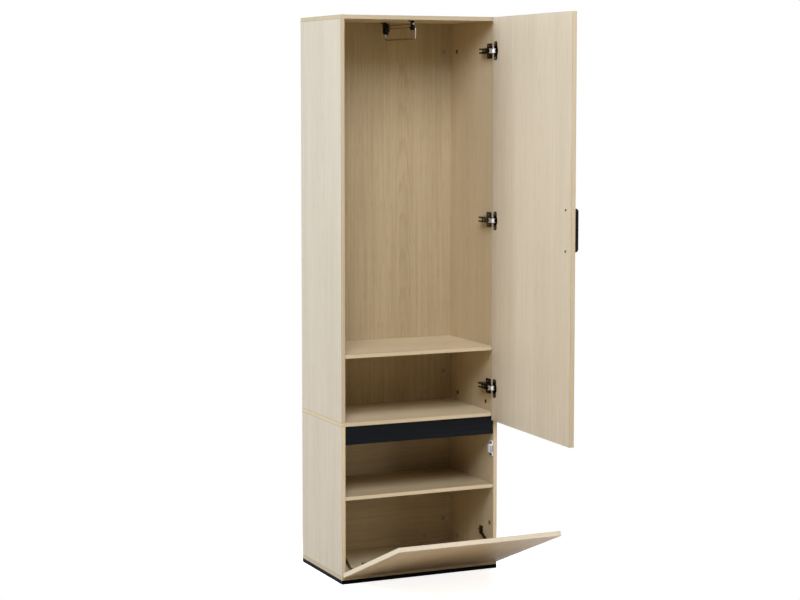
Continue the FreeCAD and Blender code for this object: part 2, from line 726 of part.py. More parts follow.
def door_pieces():
    """Door panel with its mirror and its handle, in the door's own frame."""
    frame = door.leaf_frame()
    panel = block("door_board", (DOOR_WIDTH, "front_thick", DOOR_HEIGHT), ("0", "0", "0"))
    handle_x = f"{DOOR_WIDTH} - handle_edge_distance"
    handle_levels = [f"{DOOR_HEIGHT} / 2 {sign} handle_pitch / 2" for sign in ("-", "+")]
    cuts = front_cuts(DOOR_LEVELS)
    bore = "screw_radius + bore_play"
    cuts += [rod("handle_bore", bore, "front_thick", (handle_x, "0", z), "+y") for z in handle_levels]
    node("door_panel", drilled("door_panel", panel, cuts), frame)

    mirror_x = f"({DOOR_WIDTH} - mirror_width) / 2"
    mirror_z = f"({DOOR_HEIGHT} - mirror_height) / 2"
    glass = block("mirror_pane", ("mirror_width", "mirror_thick", "mirror_height"),
                  (mirror_x, "front_thick + tape_thick", mirror_z))
    node("mirror_glass", group("mirror_glass", [glass]), frame)
    strips = []
    for x in (f"{mirror_x} + tape_inset", f"{mirror_x} + mirror_width - tape_inset - tape_width"):
        strips.append(block("tape", ("tape_width", "tape_thick", "mirror_height - 2 * tape_inset"),
                            (x, "front_thick", f"{mirror_z} + tape_inset")))
    node("mirror_tape", group("mirror_tape", strips), frame)

    low = f"{DOOR_HEIGHT} / 2 - handle_pitch / 2 - handle_bar_depth / 2"
    bow = block("handle_bow", ("handle_bar_width", "handle_reach", "handle_pitch + handle_bar_depth"),
                (f"{handle_x} - handle_bar_width / 2", "front_thick", low))
    gap = ("handle_bar_width", "handle_reach - handle_bar_depth", "handle_pitch - handle_bar_depth")
    grip = block("handle_grip", gap,
                 (f"{handle_x} - handle_bar_width / 2", "front_thick", f"{low} + handle_bar_depth"))
    tap_depth = "screw_grip + bore_play"
    taps = [rod("handle_tap", bore, tap_depth, (handle_x, "front_thick", z), "+y") for z in handle_levels]
    node("handle", drilled("handle", bow, [grip] + taps), frame)
    screws = []
    for z in handle_levels:
        head_start = (handle_x, "-screw_head_thick", z)
        head = rod("handle_head", "screw_head_radius", "screw_head_thick", head_start, "+y")
        shank = rod("handle_shank", "screw_radius", "front_thick + screw_grip", (handle_x, "0", z), "+y")
        screws.append(joined("handle_screw", [head, shank]))
    node("handle_screws", group("handle_screws", screws), frame)


STRIKE_X = "catch_level - plinth_height - flap_lift"
STRIKE_Z = "carcass_width - side_reveal - board_thick - catch_reach / 2"


def flap_pieces():
    """Flap panel with the catch's strike plate, in the flap's own frame."""
    frame = flap.leaf_frame()
    panel = block("flap_board", ("flap_length", "front_thick", DOOR_WIDTH), ("0", "0", "0"))
    inner_face = (STRIKE_X, "0", STRIKE_Z)
    plate_face = (STRIKE_X, "-strike_thick", STRIKE_Z)
    screw_bores = [rod("strike_bore", "screw_radius + bore_play", "screw_grip", inner_face, "+y")]
    node("flap_panel", drilled("flap_panel", panel, front_cuts(FLAP_LEVELS) + screw_bores), frame)
    plate = block("strike_blank", ("strike_length", "strike_thick", "strike_width"),
                  (f"{STRIKE_X} - strike_length / 2", "-strike_thick", f"{STRIKE_Z} - strike_width / 2"))
    hole = rod("strike_hole", "screw_head_radius + bore_play", "strike_thick", plate_face, "+y")
    node("strike_plate", drilled("strike_plate", plate, [hole]), frame)
    head = rod("strike_head", "screw_head_radius", "strike_thick", plate_face, "+y")
    shank = rod("strike_shank", "screw_radius", "screw_grip", inner_face, "+y")
    node("strike_screw", joined("strike_screw", [head, shank]), frame)


def stay_track():
    """Where the side pin runs on a stay arm: across and along it, over the flap's whole travel."""
    side_pin = Vector(size["stay_pivot_level"] - size["plinth_height"], -size["stay_pivot_back"], 0)
    angles = []
    lengths = []
    opened = []
    steps = 40
    for step in range(steps + 1):
        angle = flap.angle * step / steps
        pivot = flap.point(angle, flap.corner_at(angle), size["stay_flap_along"], -size["stay_flap_off"])
        local = Rotation(Vector(0, 0, 1), -angle).multVec(side_pin - pivot)
        opened.append(step / steps)
        angles.append(math.atan2(local.y, local.x))
        lengths.append(local.Length)
    for i in range(1, len(angles)):
        while angles[i] - angles[i - 1] > math.pi:
            angles[i] -= 2 * math.pi
        while angles[i] - angles[i - 1] < -math.pi:
            angles[i] += 2 * math.pi
    even = [angles[0] + (angles[-1] - angles[0]) * share for share in opened]
    across = [reach * math.sin(a - e) for reach, a, e in zip(lengths, angles, even)]
    return angles, lengths, across


def stay_pieces():
    """Two slotted stays: each arm turns on the flap and slides on a pin of the side panel."""
    angles, lengths, across = stay_track()
    pin = size["stay_pin_radius"]
    middle = (max(across) + min(across)) / 2
    half_slot = pin + (max(across) - min(across)) / 2 + size["metal_play"]
    half_arm = half_slot + size["stay_rim"]
    inner_face = size["carcass_width"] / 2 - size["board_thick"]
    arm_outer = inner_face - size["stay_side_gap"]
    arm_inner = arm_outer - size["stay_thick"]
    ear_outer = arm_inner - size["metal_play"]
    ear_inner = ear_outer - size["stay_ear_thick"]
    eye_radius = pin + size["stay_rim"]
    along, off = size["stay_flap_along"], -size["stay_flap_off"]
    turn = Rotation(Vector(0, 0, 1), math.degrees(angles[-1]))
    frame = flap.leaf_frame()
    arms, feet, flap_pins, plates, side_pins = [], [], [], [], []
    for sign in (-1, 1):
        def span(first, second):
            """Local z range between two distances from the middle, on this side."""
            return sorted((flap_width / 2 + sign * first, flap_width / 2 + sign * second))

        low, high = span(arm_inner, arm_outer)
        bar = strip((0, 0), (max(lengths) + half_slot, middle), half_arm, low, high)
        slot = strip((min(lengths), middle), (max(lengths), middle), half_slot, low, high)
        arm = bar.cut(slot).cut(disc(pin + size["pivot_play"], low, high, 0, 0))
        arm.Placement = Placement(Vector(along, off, 0), turn).multiply(arm.Placement)
        arms.append(arm)

        low, high = span(ear_inner, ear_outer)
        ear = fused(disc(eye_radius, low, high, along, off),
                    slab((along - eye_radius, off, low), (along + eye_radius, 0, high)))
        foot_low, foot_high = span(ear_outer - size["stay_foot_width"], ear_outer)
        foot = slab((along - eye_radius, -size["stay_foot_thick"], foot_low),
                    (along + eye_radius, 0, foot_high))
        bracket = fused(ear, foot).cut(disc(pin + size["pivot_play"] / 2, low, high, along, off))
        feet.append(bracket)
        low, high = span(ear_inner, arm_outer + size["metal_play"])
        flap_pins.append(disc(pin, low, high, along, off))

        low, high = span(inner_face - size["stay_bracket_thick"], inner_face)
        level = size["stay_pivot_level"] - size["plinth_height"]
        back = -size["stay_pivot_back"]
        half_height, half_width = size["stay_bracket_height"] / 2, size["stay_bracket_width"] / 2
        plate = slab((level - half_height, back - half_width, low),
                     (level + half_height, back + half_width, high))
        head_face = arm_inner - size["metal_play"]
        low, high = span(head_face, inner_face)
        plates.append(plate.cut(disc(pin + size["pivot_play"] / 2, low, high, level, back)))
        head_low, head_high = span(head_face - size["screw_head_thick"], head_face)
        head = disc(size["stay_pin_head_radius"], head_low, head_high, level, back)
        side_pins.append(fused(disc(pin, low, high, level, back), head))
    node("stay_arms", shaped("stay_arms", arms), frame)
    node("stay_flap_brackets", shaped("stay_flap_brackets", feet), frame)
    node("stay_flap_pins", shaped("stay_flap_pins", flap_pins), frame)
    node("stay_side_plates", shaped("stay_side_plates", plates), flap.frame)
    node("stay_side_pins", shaped("stay_side_pins", side_pins), flap.frame)
    pivot = frame.multVec(Vector(along, off, 0))
    closed = math.degrees(angles[0] - angles[-1])
    print(f"stay pivot {tuple(round(v, 4) for v in pivot)} closed {closed:.4f} deg")
    print(f"stay slot half width {half_slot:.2f}")


CATCH_SCREWS = [f"catch_level {sign} catch_screw_pitch / 2" for sign in ("-", "+")]
CATCH_FRONT = f"{FRONT} + catch_setback"
CATCH_ROW = f"{FRONT} + catch_setback + catch_depth / 2"


def catch_pieces():
    """Magnetic catch on the lower right side panel: a screwed plate with a tapered housing for the magnet."""
    face = f"{INNER_RIGHT} - catch_plate_thick"
    plate = block("catch_plate", ("catch_plate_thick", "catch_depth", "catch_height"),
                  (face, CATCH_FRONT, "catch_level - catch_height / 2"))
    housing = doc.addObject("Part::Wedge", "catch_housing")
    housing.Placement = Placement(Vector(), Rotation(Vector(0, 0, 1), 90))
    bind(housing, (INNER_RIGHT, CATCH_FRONT, "catch_level"),
         Xmin="0", Xmax="catch_depth", X2min="0", X2max="catch_depth", Ymin="0", Ymax="catch_reach",
         Zmin="-catch_foot_height / 2", Zmax="catch_foot_height / 2",
         Z2min="-catch_head_height / 2", Z2max="catch_head_height / 2")
    magnet_corner = (f"{INNER_RIGHT} - (catch_reach + magnet_width) / 2", f"{CATCH_FRONT} - magnet_proud",
                     "catch_level - magnet_height / 2")
    magnet_sides = ("magnet_width", "magnet_depth + magnet_proud", "magnet_height")
    pocket = block("magnet_pocket", magnet_sides, magnet_corner)
    starts = [(face, CATCH_ROW, z) for z in CATCH_SCREWS]
    bores = [rod("catch_hole", "screw_radius + bore_play", "catch_plate_thick", start, "+x")
             for start in starts]
    node("catch_body", drilled("catch_body", joined("catch_blank", [plate, housing]), [pocket] + bores))
    node("catch_magnet", block("catch_magnet", magnet_sides, magnet_corner))
    screws = []
    for start in starts:
        head = rod("catch_head", "screw_head_radius", "screw_head_thick", start, "-x")
        shank = rod("catch_shank", "screw_radius", "catch_plate_thick + screw_grip", start, "+x")
        screws.append(joined("catch_screw", [head, shank]))
    node("catch_screws", group("catch_screws", screws))


RAIL_BACK = "carcass_depth / 2 - rail_back_inset"
RAIL_FRONT = f"{FRONT} + rail_front_inset"
RAIL_SCREWS = [f"{face} + rail_bracket_thick + rail_flange_length / 2" for face in (RAIL_BACK, RAIL_FRONT)]


def rail_flange(name, width, face):
    """Screw flange of a rail bracket, flat under the top panel and behind the bracket."""
    sides = (width, "rail_flange_length + rail_bracket_thick", "rail_flange_thick")
    return block(name, sides, (f"-{width} / 2", face, f"{UPPER_CEILING} - rail_flange_thick"))


def hanger_rail():
    """Pull-out hanger rail under the top: two brackets, a guide rod and a wire loop on a slide block."""
    ceiling = UPPER_CEILING
    rod_level = f"{ceiling} - guide_rod_drop"
    wire_level = f"{ceiling} - wire_drop"
    back_arm = block("back_bracket_arm", ("rail_back_width", "rail_bracket_thick", "rail_back_height"),
                     ("-rail_back_width / 2", RAIL_BACK, f"{ceiling} - rail_back_height"))
    back_flange = rail_flange("back_flange", "rail_back_width", RAIL_BACK)
    back = joined("back_bracket_blank", [back_arm, back_flange])
    stem = block("front_bracket_stem", ("rail_stem_width", "rail_bracket_thick", "rail_front_height"),
                 ("-rail_stem_width / 2", RAIL_FRONT, f"{ceiling} - rail_front_height"))
    shoe = block("front_bracket_shoe", ("rail_front_width", "rail_bracket_thick", "rail_shoe_height"),
                 ("-rail_front_width / 2", RAIL_FRONT, f"{ceiling} - rail_front_height"))
    front_flange = rail_flange("front_flange", "rail_stem_width", RAIL_FRONT)
    front = joined("front_bracket_blank", [stem, shoe, front_flange])
    screw_holes = [rod("rail_hole", "screw_radius + bore_play", "rail_flange_thick",
                       ("0", y, f"{ceiling} - rail_flange_thick"), "+z") for y in RAIL_SCREWS]
    rod_start = ("0", f"{RAIL_FRONT} - guide_rod_nose", rod_level)
    rod_length = f"{RAIL_BACK} - ({RAIL_FRONT}) + guide_rod_nose + guide_rod_seat"
    rod_bores = [rod("guide_rod_bore", "guide_rod_radius + pivot_play", rod_length, rod_start, "+y")
                 for _ in range(2)]
    node("rail_back_bracket", drilled("rail_back_bracket", back, [rod_bores[0], screw_holes[0]]))
    wire_bore = rod("wire_bore", "wire_radius + slide_play", "rail_bracket_thick",
                    ("0", RAIL_FRONT, wire_level), "+y")
    front_cut_list = [rod_bores[1], wire_bore, screw_holes[1]]
    node("rail_front_bracket", drilled("rail_front_bracket", front, front_cut_list))
    node("rail_guide_rod", rod("rail_guide_rod", "guide_rod_radius", rod_length, rod_start, "+y"))
    screws = []
    for y in RAIL_SCREWS:
        start = ("0", y, f"{ceiling} - rail_flange_thick")
        head = rod("rail_head", "screw_head_radius", "screw_head_thick", start, "-z")
        shank = rod("rail_shank", "screw_radius", "rail_flange_thick + screw_grip", start, "+z")
        screws.append(joined("rail_screw", [head, shank]))
    node("rail_screws", group("rail_screws", screws))

    block_end = f"{RAIL_BACK} - metal_play"
    block_low = f"{rod_level} + 2 * guide_rod_radius - slide_block_height"
    slide_top = block("slide_top", ("slide_block_width", "slide_block_length", "slide_block_height"),
                      ("-slide_block_width / 2", f"{block_end} - slide_block_length", block_low))
    slide_boss = block("slide_boss",
                       ("slide_block_width", "slide_boss_length", "slide_block_height + slide_boss_height"),
                       ("-slide_block_width / 2", f"{block_end} - slide_boss_length",
                        f"{block_low} - slide_boss_height"))
    slide = joined("slide_blank", [slide_top, slide_boss])
    rod_way = rod("rod_way", "guide_rod_radius + slide_play", "slide_block_length",
                  ("0", f"{block_end} - slide_block_length", rod_level), "+y")

    start = size["carcass_depth"] / 2 - size["rail_back_inset"] - size["wire_rear_inset"]
    top = size["carcass_height"] - size["board_thick"] - size["wire_drop"]
    low = top - size["wire_loop_height"]
    bend = size["wire_bend"]
    front_y = -size["carcass_depth"] / 2 + size["wire_front_inset"]

    def corner(first, second, third):
        """A quarter bend of the wire through three points of its plane."""
        return Part.Arc(*(Vector(0, y, z) for y, z in (first, second, third))).toShape()

    def run(first, second):
        """A straight stretch of the wire."""
        return Part.LineSegment(Vector(0, *first), Vector(0, *second)).toShape()

    near = bend * (1 - math.sqrt(0.5))
    path = Part.Wire([
        run((start, top), (front_y + bend, top)),
        corner((front_y + bend, top), (front_y + near, top - near), (front_y, top - bend)),
        run((front_y, top - bend), (front_y, low + bend)),
        corner((front_y, low + bend), (front_y + near, low + near), (front_y + bend, low)),
        run((front_y + bend, low), (start - bend, low)),
        corner((start - bend, low), (start - near, low + near), (start, low + bend)),
        run((start, low + bend), (start, top - 2 * size["wire_radius"])),
    ])
    section = Part.Wire([Part.makeCircle(size["wire_radius"], Vector(0, start, top), Vector(0, 1, 0))])
    wire = path.makePipeShell([section], True, True)
    node("hanger_wire", shaped("hanger_wire", [wire]))
    wire_ways = shaped("wire_ways", [wire.copy()])
    node("rail_slide_block", drilled("rail_slide_block", slide, [rod_way, wire_ways]))


def check_and_write():
    """Test every object and every finished piece, then write one file for each piece."""
    doc.recompute()
    for obj in doc.Objects:
        if any(flag in ("Invalid", "Error") for flag in obj.State):
            raise RuntimeError(f"{obj.Name} failed: {obj.State}")
    for obj in NODES:
        if obj.Shape.isNull() or not obj.Shape.isValid() or not obj.Shape.Solids:
            raise RuntimeError(f"{obj.Label} has no valid solid")
    os.makedirs("parts", exist_ok=True)
    for obj in NODES:
        obj.Shape.exportStep(f"parts/{obj.Label}.step")
        print(f"{obj.Label}: {len(obj.Shape.Solids)} solids, {obj.Shape.Volume / 1000:.1f} cm3")


def main():
    """Build the wardrobe and write its pieces."""
    hinge_row = f"{FRONT} + hinge_plate_row"
    bore = "screw_radius + bore_play"
    hinge_bores = []
    for level in DOOR_LEVELS:
        for sign in ("-", "+"):
            start = (INNER_RIGHT, hinge_row, f"{DOOR_BOTTOM} + {level} {sign} hinge_plate_screw_pitch / 2")
            hinge_bores.append(rod("plate_bore", bore, "screw_grip", start, "+x"))
    flap_bores = []
    for level in FLAP_LEVELS:
        for sign in ("-", "+"):
            x = f"{level} {sign} hinge_plate_screw_pitch / 2 - ({DOOR_WIDTH}) / 2"
            flap_bores.append(rod("plate_bore", bore, "screw_grip", (x, hinge_row, LOWER_FLOOR), "-z"))
    catch_bores = [rod("catch_bore", bore, "screw_grip", (INNER_RIGHT, CATCH_ROW, z), "+x")
                   for z in CATCH_SCREWS]
    rail_bores = [rod("rail_bore", bore, "screw_grip", ("0", y, UPPER_CEILING), "+z") for y in RAIL_SCREWS]
    carcass(hinge_bores, flap_bores, catch_bores, rail_bores)
    door_pieces()
    hinges("door", door, door_levels)
    flap_pieces()
    hinges("flap", flap, flap_levels)
    stay_pieces()
    catch_pieces()
    hanger_rail()
    check_and_write()
    door.report("door")
    flap.report("flap")


main()
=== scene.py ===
"""Looks of a tall hall wardrobe: pale birch boards, black trim, steel hinges and a mirror on the door."""
import logging
import math
from dataclasses import dataclass, field
from enum import Enum
from typing import Any, Iterable, Sequence

import bmesh
import bpy
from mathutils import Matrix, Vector


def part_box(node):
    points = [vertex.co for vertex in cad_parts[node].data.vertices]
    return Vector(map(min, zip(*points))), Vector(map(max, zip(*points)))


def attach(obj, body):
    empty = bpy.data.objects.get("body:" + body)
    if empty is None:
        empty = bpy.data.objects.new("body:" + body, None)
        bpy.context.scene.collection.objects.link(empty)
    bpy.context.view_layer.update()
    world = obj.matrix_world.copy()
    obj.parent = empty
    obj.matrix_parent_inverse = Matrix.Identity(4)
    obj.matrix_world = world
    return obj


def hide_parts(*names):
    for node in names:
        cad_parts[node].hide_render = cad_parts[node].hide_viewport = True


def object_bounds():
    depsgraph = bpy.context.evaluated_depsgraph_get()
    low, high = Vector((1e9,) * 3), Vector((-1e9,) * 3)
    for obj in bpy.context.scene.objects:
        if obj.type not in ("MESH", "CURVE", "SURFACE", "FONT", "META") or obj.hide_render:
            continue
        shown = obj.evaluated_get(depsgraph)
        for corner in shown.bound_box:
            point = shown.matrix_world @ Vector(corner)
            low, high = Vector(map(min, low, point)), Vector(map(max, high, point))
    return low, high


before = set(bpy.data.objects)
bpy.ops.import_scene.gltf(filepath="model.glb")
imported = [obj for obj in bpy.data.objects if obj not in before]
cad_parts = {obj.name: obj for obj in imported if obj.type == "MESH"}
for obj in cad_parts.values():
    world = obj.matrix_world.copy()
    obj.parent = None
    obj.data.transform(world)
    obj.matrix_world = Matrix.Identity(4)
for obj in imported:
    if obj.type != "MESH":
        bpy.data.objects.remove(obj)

CAD_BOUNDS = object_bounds()
MM = 0.001
IMAGE_WIDTH = 800
WHITE = (1.0, 1.0, 1.0, 1.0)
DOOR_ANGLE = math.radians(88.5)
FLAP_ANGLE = math.radians(67.9)
log = logging.getLogger("hall_wardrobe")


class Way(Enum):
    """Directions that boards, grain and screws run in, in the row frame at rest."""

    RIGHT = (1.0, 0.0, 0.0)
    BACK = (0.0, 1.0, 0.0)
    UP = (0.0, 0.0, 1.0)
    LEFT = (-1.0, 0.0, 0.0)
    FRONT = (0.0, -1.0, 0.0)
    DOWN = (0.0, 0.0, -1.0)
    DOOR_OUT = (math.sin(DOOR_ANGLE), -math.cos(DOOR_ANGLE), 0.0)
    DOOR_IN = (-math.sin(DOOR_ANGLE), math.cos(DOOR_ANGLE), 0.0)
    FLAP_LENGTH = (0.0, -math.sin(FLAP_ANGLE), math.cos(FLAP_ANGLE))
    FLAP_OUT = (0.0, -math.cos(FLAP_ANGLE), -math.sin(FLAP_ANGLE))
    FLAP_IN = (0.0, math.cos(FLAP_ANGLE), math.sin(FLAP_ANGLE))

    @property
    def vector(self) -> Vector:
        """The direction as a vector."""
        return Vector(self.value)


def linear(colour: str) -> tuple[float, float, float, float]:
    """Turn an sRGB hex colour into linear light.

    Args:
        colour: Six hex digits after a hash sign.

    Returns:
        Red, green, blue and an alpha of one.
    """
    channels = [int(colour[i:i + 2], 16) / 255 for i in (1, 3, 5)]
    red, green, blue = (c / 12.92 if c <= 0.04045 else ((c + 0.055) / 1.055) ** 2.4 for c in channels)
    return red, green, blue, 1.0


def add_node(tree: bpy.types.NodeTree, kind: str, inputs: dict[Any, Any] | None = None,
             **settings: Any) -> bpy.types.Node:
    """Add a node with its settings, its input values and its links.

    Args:
        tree: The node tree that gets the node.
        kind: The node's type name.
        inputs: Values or source sockets by the input's name or number.
        settings: Properties of the node itself.

    Returns:
        The new node.
    """
    node = tree.nodes.new(kind)
    for name, value in settings.items():
        setattr(node, name, value)
    for key, value in (inputs or {}).items():
        if isinstance(value, bpy.types.NodeSocket):
            tree.links.new(value, node.inputs[key])
        else:
            node.inputs[key].default_value = value
    return node


def blank_material(name: str) -> tuple[bpy.types.Material, bpy.types.NodeTree]:
    """Make a material with an empty node tree.

    Args:
        name: The material's name.

    Returns:
        The material and its tree.
    """
    material = bpy.data.materials.new(name)
    material.use_nodes = True
    material.node_tree.nodes.clear()
    return material, material.node_tree


def finish_tree(tree: bpy.types.NodeTree, shader: bpy.types.NodeSocket) -> None:
    """Send a shader to the material's output."""
    add_node(tree, "ShaderNodeOutputMaterial", {"Surface": shader})


@dataclass(frozen=True)
class SolidFinish:
    """A finish of one colour, such as plated steel or moulded plastic, with a faintly uneven gloss."""

    name: str
    colour: str
    metallic: float
    roughness: float
    mottle_mm: float = 6.0
    mottle: float = 0.06
    mottle_detail: float = 2.0
    specular: float = 0.5

    def material(self) -> bpy.types.Material:
        """Build the material.

        Returns:
            The material.
        """
        material, tree = blank_material(self.name)
        coords = add_node(tree, "ShaderNodeTexCoord")
        cloud = add_node(tree, "ShaderNodeTexNoise", {
            "Vector": coords.outputs["Object"], "Scale": 1 / (self.mottle_mm * MM),
            "Detail": self.mottle_detail})
        gloss = add_node(tree, "ShaderNodeMapRange", {
            "Value": cloud.outputs["Fac"], "To Min": max(self.roughness - self.mottle, 0.0),
            "To Max": min(self.roughness + self.mottle, 1.0)})
        shader = add_node(tree, "ShaderNodeBsdfPrincipled", {
            "Base Color": linear(self.colour), "Metallic": self.metallic,
            "Roughness": gloss.outputs["Result"], "Specular IOR Level": self.specular})
        finish_tree(tree, shader.outputs["BSDF"])
        return material


@dataclass(frozen=True)
class MirrorFinish:
    """Silvered float glass: a clear reflection on its faces and a green tint at its ground edges."""

    name: str
    silver: str
    ground_edge: str
    facing: Way
    silver_roughness: float = 0.03
    edge_roughness: float = 0.35
    face_cosine: float = 0.7

    def material(self) -> bpy.types.Material:
        """Build the material.

        Returns:
            The material.
        """
        material, tree = blank_material(self.name)
        coords = add_node(tree, "ShaderNodeTexCoord")
        facing = add_node(tree, "ShaderNodeVectorMath", {
            0: coords.outputs["Normal"], 1: self.facing.vector}, operation="DOT_PRODUCT")
        face = add_node(tree, "ShaderNodeMath", {
            0: facing.outputs["Value"], 1: self.face_cosine}, operation="GREATER_THAN")
        silver = add_node(tree, "ShaderNodeBsdfPrincipled", {
            "Base Color": linear(self.silver), "Metallic": 1.0, "Roughness": self.silver_roughness})
        edge = add_node(tree, "ShaderNodeBsdfPrincipled", {
            "Base Color": linear(self.ground_edge), "Roughness": self.edge_roughness})
        both = add_node(tree, "ShaderNodeMixShader", {
            0: face.outputs["Value"], 1: edge.outputs["BSDF"], 2: silver.outputs["BSDF"]})
        finish_tree(tree, both.outputs["Shader"])
        return material


class Band(Enum):
    """Edge bands by the colours of their light and dark streaks. The bands differ from board to board as
    painted light and shade: darker where the lamps light an edge more, brighter where they light it less.
    """

    BRIGHT = ("#e9dabf", "#e1d1b2")
    PALE = ("#e1ceab", "#d7c29d")
    DULL = ("#d6c3a2", "#cdba95")
    TAN = ("#cdbc9b", "#c5b28e")
    BROWN = ("#c5b495", "#bdaa86")
    BLACK = ("#0b0d10", "#07080a")


@dataclass(frozen=True)
class BoardFinish:
    """Printed melamine on particle board: streaky wood print on the faces and a plainer band on the edges."""

    name: str
    light: str
    dark: str
    vein: str
    # colour of the dark line painted along every arris: painted shade
    joint: str
    roughness: float
    specular: float = 0.35
    streak_mm: float = 7.0
    streak_length_mm: float = 420.0
    streak_detail: float = 4.0
    streak_share: float = 0.6
    stripe_mm: float = 63.6364
    stripe_length_mm: float = 1050.0
    stripe_detail: float = 2.0
    stripe_share: float = 0.4
    tone_range: tuple[float, float] = (0.34, 0.66)
    pore_mm: float = 3.0
    pore_length_mm: float = 60.0
    pore_detail: float = 2.0
    pore_range: tuple[float, float] = (0.56, 0.72)
    pore_strength: float = 0.35
    pore_depth_mm: float = 0.2
    pore_relief: float = 0.12
    flame_spacing_mm: float = 7.0
    flame_stretch: float = 18.0
    flame_width_mm: float = 70.0
    flame_strength: float = 0.4
    flame_wander: float = 3.2
    flame_wander_scale: float = 1.3
    flame_detail: float = 2.0
    flame_edge: float = 0.45
    # width and strength of the painted shade line along the arrises
    arris_shade_mm: float = 1.5
    arris_shade_strength: float = 0.6
    face_cosine_squared: float = 0.5

    def material(self, name: str, band: Band, grain: Way, face: Way, centre: Vector, halves: Vector,
                 flame: Vector) -> bpy.types.Material:
        """Build the material for one board.

        Args:
            name: The board's name.
            band: The band on its edges.
            grain: The direction of the grain.
            face: The direction that the broad faces look in.
            centre: The board's middle, in the row frame.
            halves: Half of the board's width across the grain, of its length along it and of its thickness.
            flame: Where the flame figure is centred: across the grain, along it, and how strong it is.

        Returns:
            The material.
        """
        material, tree = blank_material(f"{self.name}_{name}")
        coords = add_node(tree, "ShaderNodeTexCoord")
        place = add_node(tree, "ShaderNodeVectorMath", {
            0: coords.outputs["Object"], 1: centre}, operation="SUBTRACT")
        across = grain.vector.cross(face.vector)
        runs = [add_node(tree, "ShaderNodeVectorMath", {
            0: place.outputs["Vector"], 1: way}, operation="DOT_PRODUCT").outputs["Value"]
            for way in (across, grain.vector, face.vector)]
        lay = add_node(tree, "ShaderNodeCombineXYZ", {0: runs[0], 1: runs[1], 2: runs[2]}).outputs["Vector"]

        streaks = self.noise(tree, lay, self.streak_mm, self.streak_length_mm, self.streak_detail)
        stripes = self.noise(tree, lay, self.stripe_mm, self.stripe_length_mm, self.stripe_detail)
        pores = self.noise(tree, lay, self.pore_mm, self.pore_length_mm, self.pore_detail)
        flames = self.flames(tree, lay, flame)

        thin = add_node(tree, "ShaderNodeMath", {
            0: streaks, 1: self.streak_share}, operation="MULTIPLY")
        tone = add_node(tree, "ShaderNodeMath", {
            0: stripes, 1: self.stripe_share, 2: thin.outputs["Value"]}, operation="MULTIPLY_ADD")
        spread = add_node(tree, "ShaderNodeMapRange", {
            "Value": tone.outputs["Value"], "From Min": self.tone_range[0], "From Max": self.tone_range[1]},
            interpolation_type="SMOOTHSTEP")
        flecks = add_node(tree, "ShaderNodeMapRange", {
            "Value": pores, "From Min": self.pore_range[0], "From Max": self.pore_range[1],
            "To Max": self.pore_strength})
        lines = add_node(tree, "ShaderNodeMath", {
            0: flames, 1: self.flame_strength * flame.z, 2: flecks.outputs["Result"]},
            operation="MULTIPLY_ADD", use_clamp=True)
        printed = self.print_colour(tree, spread.outputs["Result"], lines.outputs["Value"])
        edge_light, edge_dark = band.value
        edges = add_node(tree, "ShaderNodeMix", {
            0: spread.outputs["Result"], 6: linear(edge_dark), 7: linear(edge_light)}, data_type="RGBA")
        facing = add_node(tree, "ShaderNodeVectorMath", {
            0: coords.outputs["Normal"], 1: face.vector}, operation="DOT_PRODUCT")
        square = add_node(tree, "ShaderNodeMath", {
            0: facing.outputs["Value"], 1: facing.outputs["Value"]}, operation="MULTIPLY")
        broad = add_node(tree, "ShaderNodeMath", {
            0: square.outputs["Value"], 1: self.face_cosine_squared}, operation="GREATER_THAN")
        surface = add_node(tree, "ShaderNodeMix", {
            0: broad.outputs["Value"], 6: edges.outputs[2], 7: printed}, data_type="RGBA")
        # the painted shade line darkens the colour along the arrises
        colour = add_node(tree, "ShaderNodeMix", {
            0: self.joints(tree, lay, halves, broad.outputs["Value"]), 6: surface.outputs[2],
            7: linear(self.joint)}, data_type="RGBA")
        relief = add_node(tree, "ShaderNodeBump", {
            "Strength": self.pore_relief, "Distance": self.pore_depth_mm * MM, "Height": pores})
        shader = add_node(tree, "ShaderNodeBsdfPrincipled", {
            "Base Color": colour.outputs[2], "Roughness": self.roughness,
            "Specular IOR Level": self.specular, "Normal": relief.outputs["Normal"]})
        finish_tree(tree, shader.outputs["BSDF"])
        return material

    def print_colour(self, tree: bpy.types.NodeTree, tone: bpy.types.NodeSocket,
                     lines: bpy.types.NodeSocket) -> bpy.types.NodeSocket:
        """Colour of the print from its light and dark streaks and its veins.

        Args:
            tree: The material's tree.
            tone: From the dark streaks to the light ones.
            lines: How strongly a vein shows.

        Returns:
            The socket with the colour.
        """
        ground = add_node(tree, "ShaderNodeMix", {
            0: tone, 6: linear(self.dark), 7: linear(self.light)}, data_type="RGBA")
        return add_node(tree, "ShaderNodeMix", {
            0: lines, 6: ground.outputs[2], 7: linear(self.vein)}, data_type="RGBA").outputs[2]

    def joints(self, tree: bpy.types.NodeTree, lay: bpy.types.NodeSocket, halves: Vector,
               broad: bpy.types.NodeSocket) -> bpy.types.NodeSocket:
        """The thin shadow line along every arris, where a band or another board meets this one.

        Args:
            tree: The material's tree.
            lay: Place on the board.
            halves: Half of the board's width, length and thickness.
            broad: One on the broad faces and nought on the edges.

        Returns:
            The socket with the line's strength.
        """
        place = add_node(tree, "ShaderNodeVectorMath", {0: lay}, operation="ABSOLUTE")
        inside = add_node(tree, "ShaderNodeVectorMath", {
            0: halves, 1: place.outputs["Vector"]}, operation="SUBTRACT")
        gaps = add_node(tree, "ShaderNodeSeparateXYZ", {0: inside.outputs["Vector"]})
        rim = add_node(tree, "ShaderNodeMath", {
            0: gaps.outputs["X"], 1: gaps.outputs["Y"]}, operation="MINIMUM")
        gap = add_node(tree, "ShaderNodeMix", {0: broad, 2: gaps.outputs["Z"], 3: rim.outputs["Value"]})
        return add_node(tree, "ShaderNodeMapRange", {
            "Value": gap.outputs[0], "From Min": 0.0, "From Max": self.arris_shade_mm * MM,
            "To Min": self.arris_shade_strength, "To Max": 0.0}, interpolation_type="SMOOTHSTEP").outputs["Result"]

